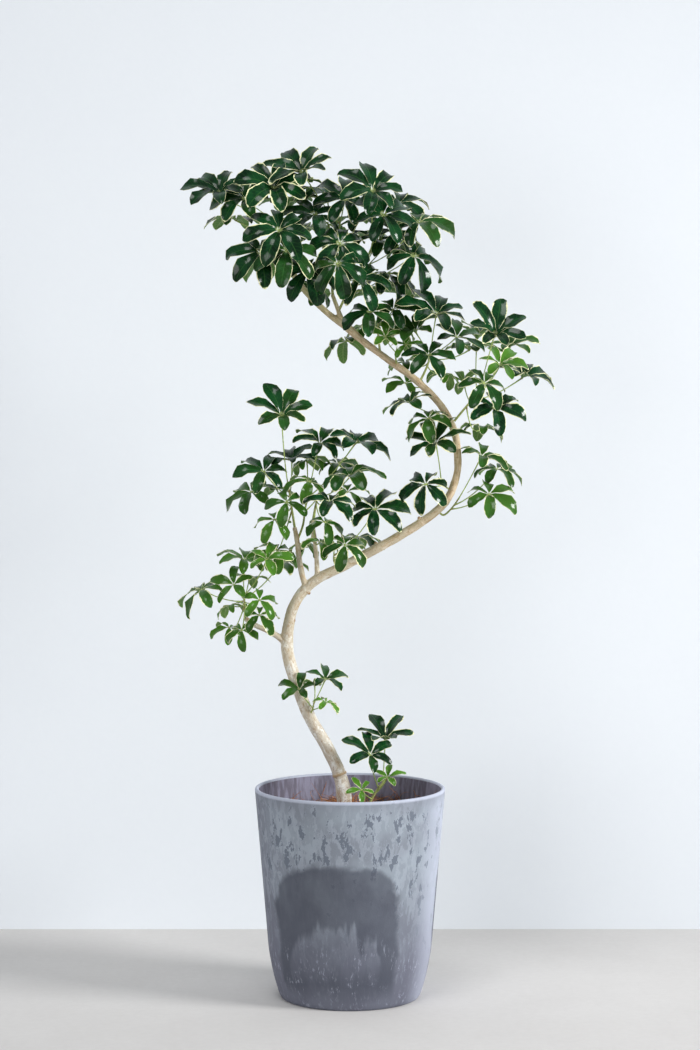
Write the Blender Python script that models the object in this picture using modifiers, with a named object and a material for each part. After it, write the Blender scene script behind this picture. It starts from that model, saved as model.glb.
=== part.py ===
"""Potted variegated umbrella tree: a turned planter filled with soil under fibre mulch, one bent
woody trunk with its branches, and leafy green shoots that carry palmate leaves on long stalks.
The frame is in metres, +Z up, with the origin under the planter's centre and the front at -Y."""

import math
import random
from dataclasses import dataclass

import bmesh
import bpy
from mathutils import Vector
from mathutils.bvhtree import BVHTree

# Clearance between pieces that rest on each other
GAP = 0.0003

# Places are read in a front view from this eye, so a depth moves a point along its line of sight
EYE = Vector((0.0, -5.5, 1.299))
CENTIMETRE = 0.01
MILLIMETRE = 0.001

# Heights in the plant's tables are read from this far above the floor, in cm
TABLE_FLOOR = 0.9

# Planter: outer radius at each height from the rim down, wall and floor
POT_OUTSIDE = (
    (0.1895, 0.416),
    (0.1818, 0.325),
    (0.1741, 0.234),
    (0.1670, 0.150),
    (0.1628, 0.100),
    (0.1583, 0.072),
    (0.1525, 0.044),
    (0.1440, 0.014),
)
POT_HEIGHT = 0.420
POT_WALL = 0.0078
POT_FLOOR = 0.012
POT_BASE_RADIUS = 0.136
POT_SIDES = 28
DRAIN_COUNT = 4
DRAIN_RADIUS = 0.007
DRAIN_CIRCLE = 0.075

# Soil and mulch heights
SOIL_TOP = 0.344
MULCH_EDGE_TOP = 0.359
MULCH_CLEARANCE = 0.0017
MULCH_RISE = 0.018
MULCH_RISE_SPREAD = 0.055
MULCH_WAVE = 0.0025
MULCH_RINGS = 5
MULCH_SIDES = 20

# Trunk from its root to its tip: x, depth and z in cm, then radius in mm
TRUNK = (
    (-0.7, 0.0, 26.0, 15.0),
    (-1.1, 0.0, 38.1, 15.5),
    (-2.1, 0.2, 43.7, 13.4),
    (-4.8, 0.4, 49.5, 12.8),
    (-8.2, 0.6, 55.5, 12.6),
    (-10.5, 0.9, 61.6, 12.5),
    (-12.2, 1.0, 67.0, 12.6),
    (-12.5, 0.9, 70.8, 12.2),
    (-12.0, 0.6, 74.6, 11.3),
    (-10.9, 0.4, 77.9, 10.6),
    (-9.0, 0.2, 80.6, 10.4),
    (-6.0, -0.1, 83.0, 10.1),
    (-2.0, -0.5, 84.9, 9.9),
    (3.3, -1.0, 87.7, 9.6),
    (10.2, -1.6, 91.5, 9.1),
    (16.4, -2.0, 95.6, 8.5),
    (19.4, -2.1, 98.8, 7.9),
    (21.1, -1.9, 103.2, 7.4),
    (21.3, -1.4, 107.2, 7.3),
    (20.6, -0.8, 112.1, 7.3),
    (17.8, 0.0, 117.3, 7.2),
    (13.0, 0.5, 122.1, 7.2),
    (7.0, 1.0, 126.5, 7.0),
    (2.3, 1.0, 130.0, 7.3),
    (-0.9, 0.8, 132.8, 8.2),
    (-4.3, 0.5, 135.2, 6.4),
    (-8.3, 0.1, 139.0, 5.8),
    (-10.8, -0.2, 142.6, 5.3),
    (-11.6, -0.3, 144.2, 4.4),
)

# Woody branches, each from inside the trunk to its tip, in the trunk's units
BRANCHES = (
    ((-12.4, 0.9, 69.5, 7.5), (-14.2, 0.6, 71.2, 6.3), (-16.5, 0.3, 72.5, 5.8),
     (-19.0, 0.0, 73.6, 5.6), (-21.0, -0.2, 75.0, 5.0)),
    ((-8.6, 0.1, 80.6, 7.0), (-9.5, -0.3, 83.5, 5.8), (-10.1, -0.6, 87.0, 5.3),
     (-10.5, -0.6, 90.5, 5.0), (-11.0, -0.5, 93.0, 4.6)),
    ((-6.5, 0.0, 82.6, 6.0), (-6.6, -0.2, 86.0, 4.8), (-7.0, -0.4, 90.5, 4.5), (-7.5, -0.5, 94.5, 4.0)),
    ((-1.2, 0.8, 132.6, 6.0), (-2.4, 0.7, 136.0, 4.8), (-3.5, 0.5, 139.0, 4.2)),
)

# Stubs left where twigs were cut away: centre on the trunk and the way each one points, in cm
STUBS = (
    ((-1.8, -0.5, 85.0), (-0.6, -0.3, 1.0)),
    ((5.5, -1.1, 89.0), (-0.5, -0.3, 1.0)),
    ((14.2, -1.9, 94.1), (-0.7, -0.3, 1.0)),
    ((-12.0, 0.6, 74.4), (1.0, -0.3, 0.1)),
    ((-8.8, 0.2, 80.5), (0.8, -0.3, -0.7)),
    ((-1.0, 0.8, 132.8), (-0.2, -0.9, -0.4)),
)
STUB_BASE_RADIUS = 0.0042
STUB_TIP_RADIUS = 0.0027
STUB_RISE = 0.0028

# The ring scar low on the trunk: its place along the trunk and how far it stands out
SCAR_POINT = 3
SCAR_RISE = 0.0012
SCAR_HALF_LENGTH = 0.0022

POINTS_PER_SPAN = 2
POINTS_PER_STEM_SPAN = 1
TUBE_DETAIL = {"trunk": 2, "branch": 1, "stem": 0}

# Leaves: leaflets as shares of their length, with the widest part beyond the middle, and the stalk
BLADE_HALF_THICKNESS = 0.0006
HUB_HALF_THICKNESS = 0.0014
HUB_RADIUS = 0.0032
NEAR_SHARE = 0.42
NEAR_HALF_WIDTH = 0.168
FAR_SHARE = 0.75
FAR_HALF_WIDTH = 0.178
BLADE_FOLD = 0.12
LEAFLETS_BY_LENGTH = ((8.6, 7), (6.4, 6), (0.0, 5))
SHORTEST_LEAFLET = 0.72
SIDE_TILT = 0.18
FRONT_TILT = 0.80
LIGHT_TILT = 0.52
LEAFLET_SPREAD = 0.06
STALK_SIDES = 3
STALK_ROOT_RADIUS = 0.0014
STALK_TIP_RADIUS = 0.0012
STALK_SAG = 0.20
STALK_RISE = 0.08
STALK_SEGMENTS = 2
STEM_TAPER = 0.3
LAST_LEAF_SHARE = 0.99

# How much leaves differ: reach as a share, lift, droop and tilt in degrees, lean, and turn as a share
REACH_SPREAD = 0.15
LIFT_SPREAD = 9.0
DROOP_SPREAD = 12.0
TILT_SPREAD = 7.0
LEAN_SPREAD = 0.33
SPIN_SPREAD = 0.08
LEAST_SLANT = 1.04
SHORTEST_OUTWARD = 0.02

# Upper leaves of a shoot hold their leaflets up and lower ones let them hang, in degrees
YOUNG_LIFT = 16.0
YOUNG_DROOP = -14.0

# A leaf that would touch another is moved along its line of sight or turned on its stalk
DEPTH_STEPS_CM = (0.0, 1.0, -1.0, 2.0, -2.0, 3.0, -3.0, 4.0, -4.0, 5.5, -5.5)
TURN_STEPS = (0.0, 0.14, -0.14)
SWELL = 0.0005
STALK_MARGIN = 0.0022
STALK_FREE_START = 0.25
STEM_MARGIN = 0.004
LONGEST_STALK = 0.12
OTHER_NODE_WEIGHT = 100


@dataclass(frozen=True)
class Shoot:
    """One leafy stem. Its path is in cm and starts inside what it grows from, its radius in mm.
    Bare is the share of its length below the first leaf. Reach is the usual distance from stem to leaf
    hub in cm, lift and droop are the leaflets' rise at the hub and the bend to their tips in degrees,
    and facing is how far its leaves turn to the light in front. Each leaf is x, z, longest leaflet (cm)
    and side: -1 before the stem, 1 behind it."""

    path: tuple
    radius: float
    bare: float
    reach: float
    lift: float
    droop: float
    facing: float
    leaves: tuple


SHOOTS = {
    "shoot_crown_left": Shoot(
        ((-11.4, -0.3, 143.7), (-12.5, 0.0, 148.5), (-13.5, 0.4, 152.5), (-14.0, 0.5, 155.0)),
        2.9, 0.18, 9.5, 36.0, 100.0, 0.95,
        ((-25.5, 158.5, 9.1, -1), (-22.5, 153.5, 7.6, 1), (-20.5, 157.5, 8.6, -1),
         (-15.0, 159.5, 9.6, -1), (-12.0, 156.0, 8.4, 1), (-14.0, 151.5, 9.1, -1),
         (-12.5, 147.5, 9.1, -1), (-17.5, 147.0, 9.1, -1), (-16.5, 145.5, 7.6, 1),
         (-8.5, 143.5, 8.6, -1), (-9.0, 152.0, 8.1, 1), (-7.5, 140.5, 6.6, 1)),
    ),
    "shoot_crown_top": Shoot(
        ((-3.4, 0.5, 138.6), (-3.6, 0.5, 144.0), (-2.8, 0.6, 148.5), (-2.0, 0.6, 153.0)),
        2.9, 0.18, 9.0, 34.0, 94.0, 0.95,
        ((-9.2, 163.2, 9.6, -1), (-11.0, 159.8, 8.6, 1), (-7.0, 154.5, 9.1, -1),
         (-4.5, 158.0, 8.6, 1), (-1.0, 157.5, 9.1, -1), (-2.0, 149.0, 9.1, -1),
         (-2.5, 145.0, 8.6, -1), (1.5, 153.0, 8.1, 1), (2.0, 142.0, 8.1, -1), (-4.2, 152.5, 6.2, 1)),
    ),
    "shoot_crown_right": Shoot(
        ((-2.3, 0.7, 135.6), (-0.4, 1.3, 139.5), (2.2, 1.4, 144.0), (4.6, 1.2, 148.5)),
        2.8, 0.18, 9.0, 30.0, 100.0, 0.95,
        ((4.5, 159.0, 9.1, -1), (6.5, 154.5, 9.1, -1), (13.5, 153.0, 9.1, -1),
         (9.5, 156.5, 8.4, 1), (12.5, 146.5, 9.6, -1), (5.5, 149.5, 9.1, -1), (9.0, 151.0, 8.1, 1),
         (7.5, 143.0, 8.6, -1)),
    ),
    "shoot_shoulder": Shoot(
        ((6.0, 0.9, 127.1), (5.5, 0.6, 131.5), (5.6, 0.6, 134.0)),
        2.4, 0.45, 5.5, 32.0, 92.0, 0.85,
        ((4.0, 135.5, 7.6, -1), (5.0, 138.5, 7.1, 1), (8.5, 136.0, 7.1, -1),
         (11.0, 138.0, 8.1, 1), (9.5, 132.0, 6.1, 1), (2.8, 132.5, 5.6, 1)),
    ),
    "shoot_shoulder_small": Shoot(
        ((9.3, 0.8, 124.7), (9.0, -0.4, 126.6), (9.1, -0.6, 127.6)),
        1.9, 0.45, 3.0, 34.0, 82.0, 0.9,
        ((7.0, 130.5, 5.1, -1), (11.0, 129.0, 5.1, -1)),
    ),
    "shoot_bend_top": Shoot(
        ((13.7, 0.5, 121.6), (15.3, 0.8, 125.0), (16.0, 1.0, 128.0)),
        2.5, 0.45, 7.0, 34.0, 80.0, 0.9,
        ((13.0, 131.5, 8.1, -1), (17.0, 135.0, 9.1, -1), (21.0, 130.5, 7.1, -1),
         (23.5, 128.0, 7.6, 1), (15.5, 127.0, 7.1, -1), (18.5, 123.5, 6.1, 1),
         (11.0, 125.5, 6.1, 1)),
    ),
    "shoot_bend_right": Shoot(
        ((20.6, -0.7, 114.0), (23.5, -0.5, 117.5), (25.5, 0.0, 119.5)),
        2.5, 0.45, 8.0, 46.0, 90.0, 0.85,
        ((28.5, 131.0, 8.6, -1), (31.5, 128.5, 7.6, 1), (25.0, 130.0, 7.1, 1),
         (29.5, 125.0, 6.6, -1), (34.5, 122.5, 8.6, 1), (26.5, 121.5, 7.1, -1),
         (22.5, 121.5, 6.1, 1), (28.5, 116.5, 8.1, -1), (26.0, 112.5, 7.1, 1)),
    ),
    "shoot_bend_foot": Shoot(
        ((17.3, -2.0, 96.4), (18.5, -1.8, 95.4), (20.0, -1.6, 96.6), (21.2, -1.4, 98.2)),
        2.2, 0.45, 6.0, 26.0, 80.0, 0.8,
        ((26.0, 107.0, 7.1, -1), (29.0, 104.5, 7.6, 1), (27.5, 99.5, 7.6, -1)),
    ),
    "shoot_inner_low": Shoot(
        ((20.0, -2.0, 100.3), (18.5, -2.9, 101.3), (18.0, -3.2, 102.0)),
        1.9, 0.45, 6.0, 28.0, 84.0, 0.8,
        ((17.0, 109.5, 8.6, -1), (15.0, 101.5, 7.6, -1)),
    ),
    "shoot_inner_high": Shoot(
        ((19.9, -0.5, 114.0), (18.3, -1.3, 114.9), (17.6, -1.6, 115.5)),
        1.9, 0.45, 4.0, 32.0, 84.0, 0.6,
        ((15.5, 114.5, 7.1, -1), (12.0, 117.5, 7.1, -1)),
    ),
    "shoot_behind_bend": Shoot(
        ((15.6, 0.3, 119.8), (14.6, 1.9, 120.4), (14.2, 2.2, 120.7)),
        1.9, 0.45, 3.5, 38.0, 74.0, 0.8,
        ((11.0, 121.5, 6.1, 1),),
    ),
    "shoot_shoulder_left": Shoot(
        ((2.6, 1.0, 129.8), (1.4, 2.2, 130.0), (1.0, 2.6, 130.1)),
        1.8, 0.45, 3.0, 18.0, 92.0, 0.9,
        ((-0.8, 129.8, 6.6, 1),),
    ),
    "shoot_heart_left": Shoot(
        ((-10.9, -0.5, 92.6), (-11.5, -0.5, 96.5), (-12.0, -0.2, 100.0)),
        2.6, 0.45, 7.0, 32.0, 88.0, 0.75,
        ((-13.5, 115.0, 8.6, -1), (-11.5, 106.0, 7.1, 1), (-17.0, 104.0, 7.6, -1),
         (-19.5, 100.0, 7.6, 1), (-12.5, 98.0, 6.1, -1), (-15.0, 94.5, 6.1, -1),
         (-14.5, 88.5, 6.6, -1), (-14.5, 100.5, 6.1, 1)),
    ),
    "shoot_heart_middle": Shoot(
        ((-10.4, -0.5, 90.4), (-9.3, 0.4, 93.5), (-8.9, 0.8, 96.5), (-8.3, 1.0, 99.0)),
        2.4, 0.45, 7.0, 28.0, 100.0, 0.55,
        ((-6.0, 109.5, 7.6, -1), (-8.5, 106.0, 6.6, 1), (-8.0, 102.0, 6.6, -1),
         (1.0, 109.5, 8.6, -1), (-2.5, 105.5, 7.1, 1)),
    ),
    "shoot_heart_right": Shoot(
        ((-7.4, -0.5, 94.1), (-6.9, -0.6, 97.0), (-6.4, -0.6, 99.0)),
        2.2, 0.45, 6.0, 28.0, 98.0, 0.55,
        ((0.0, 103.0, 8.6, -1), (-0.5, 100.0, 5.6, 1), (-4.0, 98.0, 7.1, -1),
         (-5.0, 94.0, 6.1, -1), (-6.0, 90.0, 5.6, -1), (-9.0, 89.5, 5.1, 1)),
    ),
    "shoot_heart_foot": Shoot(
        ((-2.6, -0.5, 84.7), (-3.2, -1.3, 86.4), (-3.2, -1.6, 87.4)),
        2.1, 0.45, 5.0, 22.0, 90.0, 0.8,
        ((5.0, 96.5, 8.6, -1), (1.5, 91.0, 7.1, 1), (-1.0, 89.5, 7.1, -1)),
    ),
    "shoot_low_branch": Shoot(
        ((-20.8, -0.2, 74.8), (-20.9, -0.3, 77.0), (-21.0, -0.3, 79.5)),
        2.4, 0.45, 5.5, 28.0, 94.0, 0.7,
        ((-30.0, 80.5, 7.6, -1), (-23.0, 81.5, 6.1, -1), (-20.0, 82.5, 5.6, 1),
         (-21.0, 86.5, 7.1, 1), (-16.5, 86.5, 6.1, -1), (-14.0, 85.5, 7.1, 1),
         (-23.5, 77.5, 5.1, 1), (-18.0, 78.5, 5.6, -1), (-18.0, 75.5, 5.6, -1),
         (-21.5, 72.5, 5.1, -1), (-24.0, 73.0, 5.1, 1)),
    ),
    "shoot_trunk_sprout": Shoot(
        ((-8.1, 0.5, 55.2), (-7.4, -1.0, 56.8), (-7.2, -1.3, 57.9)),
        1.9, 0.45, 3.5, 44.0, 86.0, 0.6,
        ((-5.0, 62.5, 6.1, -1), (-10.0, 60.5, 5.6, -1), (-7.0, 61.5, 4.6, 1), (-4.8, 58.0, 4.1, -1)),
    ),
    "pot_sprout": Shoot(
        ((3.2, -1.5, 29.0), (3.3, -1.5, 35.0), (4.0, -1.5, 38.0), (5.4, -1.5, 40.5), (6.6, -1.5, 42.0)),
        3.2, 0.62, 4.0, 46.0, 66.0, 0.8,
        ((4.0, 47.5, 7.1, -1), (7.0, 50.5, 7.6, 1), (7.5, 43.0, 4.1, -1), (2.3, 40.5, 3.8, -1)),
    ),
}
SEED = 2026


def clear_scene():
    """Remove whatever the scene holds."""
    for scene_object in list(bpy.data.objects):
        bpy.data.objects.remove(scene_object, do_unlink=True)


def new_collection(name):
    """Return a new collection linked to the scene."""
    collection = bpy.data.collections.new(name)
    bpy.context.scene.collection.children.link(collection)
    return collection


def principled(name, colour, roughness):
    """Return a material with one plain Principled surface."""
    material = bpy.data.materials.new(name)
    material.use_nodes = True
    shader = material.node_tree.nodes["Principled BSDF"]
    shader.inputs["Base Color"].default_value = (*colour, 1.0)
    shader.inputs["Roughness"].default_value = roughness
    shader.inputs["Metallic"].default_value = 0.0
    return material


def add_object(name, mesh, collection, material=None):
    """Link a new object that shows a mesh."""
    scene_object = bpy.data.objects.new(name, mesh)
    if material is not None:
        mesh.materials.clear()
        mesh.materials.append(material)
    collection.objects.link(scene_object)
    return scene_object


def bmesh_to_mesh(bm, name):
    """Store a bmesh in a new mesh and free it."""
    mesh = bpy.data.meshes.new(name)
    bm.to_mesh(mesh)
    bm.free()
    return mesh


def baked(scene_object):
    """Replace an object's mesh with its evaluated one and drop its modifiers."""
    depsgraph = bpy.context.evaluated_depsgraph_get()
    mesh = bpy.data.meshes.new_from_object(scene_object.evaluated_get(depsgraph))
    scene_object.modifiers.clear()
    scene_object.data = mesh
    return scene_object


def shade_round(scene_object, angle_degrees=40.0):
    """Shade a round piece smooth with its sharp edges kept."""
    scene_object.data.shade_smooth()
    scene_object.data.set_sharp_from_angle(angle=math.radians(angle_degrees))


def cut(target, cutter):
    """Subtract a closed cutter from an object."""
    modifier = target.modifiers.new("cut_" + cutter.name, "BOOLEAN")
    modifier.operation = "DIFFERENCE"
    modifier.object = cutter
    modifier.solver = "MANIFOLD"


def as_cutter(scene_object):
    """Mark an object as a helper that no picture shows."""
    scene_object.hide_render = True
    scene_object.display_type = "WIRE"
    return scene_object


def fused(base, pieces_collection):
    """Join an object with every object of a collection into one body."""
    modifier = base.modifiers.new("join", "BOOLEAN")
    modifier.operation = "UNION"
    modifier.operand_type = "COLLECTION"
    modifier.collection = pieces_collection
    modifier.solver = "MANIFOLD"
    baked(base)
    for piece in list(pieces_collection.objects):
        bpy.data.objects.remove(piece, do_unlink=True)
    bpy.data.collections.remove(pieces_collection)
    return base


def sighted(x, depth, z):
    """Return the point in metres that a front view shows at x, z (cm), at a depth (cm)."""
    on_plane = Vector((x, 0.0, z + TABLE_FLOOR)) * CENTIMETRE
    return EYE + (on_plane - EYE) * (1.0 - depth * CENTIMETRE / EYE.y)


def smooth_path(points, per_span):
    """Return points on a smooth curve through the given vectors, per_span of them a stretch."""
    ends = [points[0] * 2 - points[1], *points, points[-1] * 2 - points[-2]]
    path = []
    for a, b, c, d in zip(ends, ends[1:], ends[2:], ends[3:]):
        for step in range(per_span):
            t = step / per_span
            path.append(
                0.5 * (2 * b + (c - a) * t + (2 * a - 5 * b + 4 * c - d) * t**2
                       + (3 * b - a - 3 * c + d) * t**3)
            )
    path.append(points[-1].copy())
    return path


def tube(name, points, radii, detail, collection):
    """Make a closed round tube along points, as a mesh object."""
    curve = bpy.data.curves.new(name, "CURVE")
    curve.dimensions = "3D"
    curve.bevel_depth = 1.0
    curve.bevel_resolution = detail
    curve.use_fill_caps = True
    spline = curve.splines.new("POLY")
    spline.points.add(len(points) - 1)
    for spline_point, place, radius in zip(spline.points, points, radii):
        spline_point.co = (*place, 1.0)
        spline_point.radius = radius
    guide = bpy.data.objects.new(name + "_guide", curve)
    collection.objects.link(guide)
    depsgraph = bpy.context.evaluated_depsgraph_get()
    mesh = bpy.data.meshes.new_from_object(guide.evaluated_get(depsgraph))
    mesh.name = name
    bpy.data.objects.remove(guide, do_unlink=True)
    bpy.data.curves.remove(curve)
    bm = bmesh.new()
    bm.from_mesh(mesh)
    bmesh.ops.remove_doubles(bm, verts=bm.verts, dist=0.00001)
    bm.to_mesh(mesh)
    bm.free()
    return add_object(name, mesh, collection)


def turned(name, profile, sides, collection, material):
    """Turn a profile of (radius, height) points about Z."""
    bm = bmesh.new()
    vertices = [bm.verts.new((radius, 0.0, height)) for radius, height in profile]
    for lower, upper in zip(vertices, vertices[1:]):
        bm.edges.new((lower, upper))
    scene_object = add_object(name, bmesh_to_mesh(bm, name), collection, material)
    screw = scene_object.modifiers.new("turn", "SCREW")
    screw.axis = "Z"
    screw.steps = sides
    screw.render_steps = sides
    screw.use_merge_vertices = True
    screw.merge_threshold = 0.0001
    screw.use_smooth_shade = True
    return scene_object


def pot_inside():
    """Return the planter's inner profile from the rim down to the floor."""
    wall = [(radius - POT_WALL, height) for radius, height in POT_OUTSIDE[:-1:2]]
    lowest = POT_OUTSIDE[-1][0] - POT_WALL
    return [*wall, (lowest, POT_FLOOR + 0.010), (lowest - 0.010, POT_FLOOR)]


def build_pot(collection, cutters, material):
    """Turn the planter's shell with a rounded rim, and drill its drain holes."""
    rim_centre = POT_OUTSIDE[0][0] - POT_WALL / 2
    rim_rise = POT_HEIGHT - POT_OUTSIDE[0][1]
    rim = [
        (rim_centre - POT_WALL / 2 * math.cos(turn), POT_OUTSIDE[0][1] + rim_rise * math.sin(turn))
        for turn in (math.radians(45), math.radians(90), math.radians(135))
    ]
    inside = pot_inside()
    profile = [(0.0, POT_FLOOR), *reversed(inside), *rim, *POT_OUTSIDE]
    profile += [(POT_BASE_RADIUS + 0.0035, 0.003), (POT_BASE_RADIUS, 0.0), (0.0, 0.0)]
    pot = turned("pot", profile, POT_SIDES, collection, material)
    for index in range(DRAIN_COUNT):
        bm = bmesh.new()
        bmesh.ops.create_cone(
            bm, cap_ends=True, segments=12, radius1=DRAIN_RADIUS, radius2=DRAIN_RADIUS, depth=POT_FLOOR * 3
        )
        hole = as_cutter(add_object(f"drain_{index}", bmesh_to_mesh(bm, "drain"), cutters))
        angle = math.tau * (index + 0.5) / DRAIN_COUNT
        hole.location = (DRAIN_CIRCLE * math.cos(angle), DRAIN_CIRCLE * math.sin(angle), 0.0)
        cut(pot, hole)
    baked(pot)
    shade_round(pot)
    return pot


def wall_radius(height):
    """Return the planter's inner radius at a height, between its profile points."""
    inside = pot_inside()
    for (upper_radius, upper), (lower_radius, lower) in zip(inside, inside[1:]):
        if lower <= height <= upper:
            share = (height - lower) / (upper - lower)
            return lower_radius + share * (upper_radius - lower_radius)
    return inside[0][0]


def build_soil(collection, material):
    """Turn the soil that fills the planter up to the mulch."""
    side = [(radius - GAP * 2, height) for radius, height in pot_inside() if height < SOIL_TOP]
    side[-1] = (side[-1][0], POT_FLOOR + GAP)
    profile = [(0.0, SOIL_TOP), (wall_radius(SOIL_TOP) - GAP * 2, SOIL_TOP), *side, (0.0, POT_FLOOR + GAP)]
    return turned("soil", profile, POT_SIDES, collection, material)


def mulch_height(x, y):
    """Return the mulch's surface height: a mound round the trunk with small waves."""
    away = math.hypot(x - TRUNK[2][0] * CENTIMETRE, y)
    mound = MULCH_RISE * math.exp(-((away / MULCH_RISE_SPREAD) ** 2))
    waves = math.sin(x * 95 + 1.0) * math.cos(y * 83) + 0.6 * math.sin((x + y) * 167)
    return MULCH_EDGE_TOP + mound + MULCH_WAVE * waves


def build_mulch(collection, material):
    """Make the layer of coconut fibre: a disc whose top follows the mulch's surface."""
    bottom = SOIL_TOP + GAP
    edge = wall_radius(bottom) - MULCH_CLEARANCE
    rings = [(edge * ring / MULCH_RINGS, MULCH_EDGE_TOP) for ring in range(MULCH_RINGS + 1)]
    profile = [*rings, (edge, bottom), (0.0, bottom)]
    mulch = turned("coconut_fibre", profile, MULCH_SIDES, collection, material)
    baked(mulch)
    for vertex in mulch.data.vertices:
        if vertex.co.z > (bottom + MULCH_EDGE_TOP) / 2:
            vertex.co.z = mulch_height(vertex.co.x, vertex.co.y)
    return mulch


def wood_tube(name, stations, detail, extra, collection):
    """Make one limb of the trunk from its stations, fattened by extra."""
    places = smooth_path([sighted(*station[:3]) for station in stations], POINTS_PER_SPAN)
    radii = smooth_path([Vector((station[3], 0.0)) for station in stations], POINTS_PER_SPAN)
    places[0] += (places[0] - places[1]).normalized() * extra
    places[-1] += (places[-1] - places[-2]).normalized() * extra
    return tube(name, places, [radius.x * MILLIMETRE + extra for radius in radii], detail, collection)


def add_stub(place, pointing, extra, collection):
    """Add one pruned stub that stands out of the trunk."""
    bm = bmesh.new()
    length = TRUNK[-1][3] * MILLIMETRE + STUB_RISE * 2
    bmesh.ops.create_cone(
        bm, cap_ends=True, segments=7, radius1=STUB_BASE_RADIUS + extra, radius2=STUB_TIP_RADIUS + extra,
        depth=length + extra,
    )
    stub = add_object("stub", bmesh_to_mesh(bm, "stub"), collection)
    direction = Vector(pointing).normalized()
    stub.rotation_euler = direction.to_track_quat("Z", "Y").to_euler()
    stub.location = sighted(*place) + direction * (STUB_RISE + length / 2)


def build_wood(name, extra, collection, material=None):
    """Join trunk, branches, pruned stubs and the ring scar into one piece of wood."""
    limbs = new_collection(name + "_limbs")
    wood = wood_tube(name, TRUNK, TUBE_DETAIL["trunk"], extra, collection)
    for stations in BRANCHES:
        wood_tube("branch", stations, TUBE_DETAIL["branch"], extra, limbs)
    for place, pointing in STUBS:
        add_stub(place, pointing, extra, limbs)
    scar = sighted(*TRUNK[SCAR_POINT][:3])
    along = (sighted(*TRUNK[SCAR_POINT + 1][:3]) - sighted(*TRUNK[SCAR_POINT - 1][:3])).normalized()
    half = SCAR_HALF_LENGTH + extra
    radius = TRUNK[SCAR_POINT][3] * MILLIMETRE + SCAR_RISE + extra
    tube("scar", [scar - along * half, scar + along * half], [radius] * 2, TUBE_DETAIL["trunk"], limbs)
    fused(wood, limbs)
    if material is not None:
        wood.data.materials.append(material)
    shade_round(wood)
    return wood


def solid_tree(scene_object):
    """Return a search tree over an object's faces."""
    mesh = scene_object.data
    places = [scene_object.matrix_world @ vertex.co for vertex in mesh.vertices]
    return BVHTree.FromPolygons(places, [tuple(face.vertices) for face in mesh.polygons])


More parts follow.
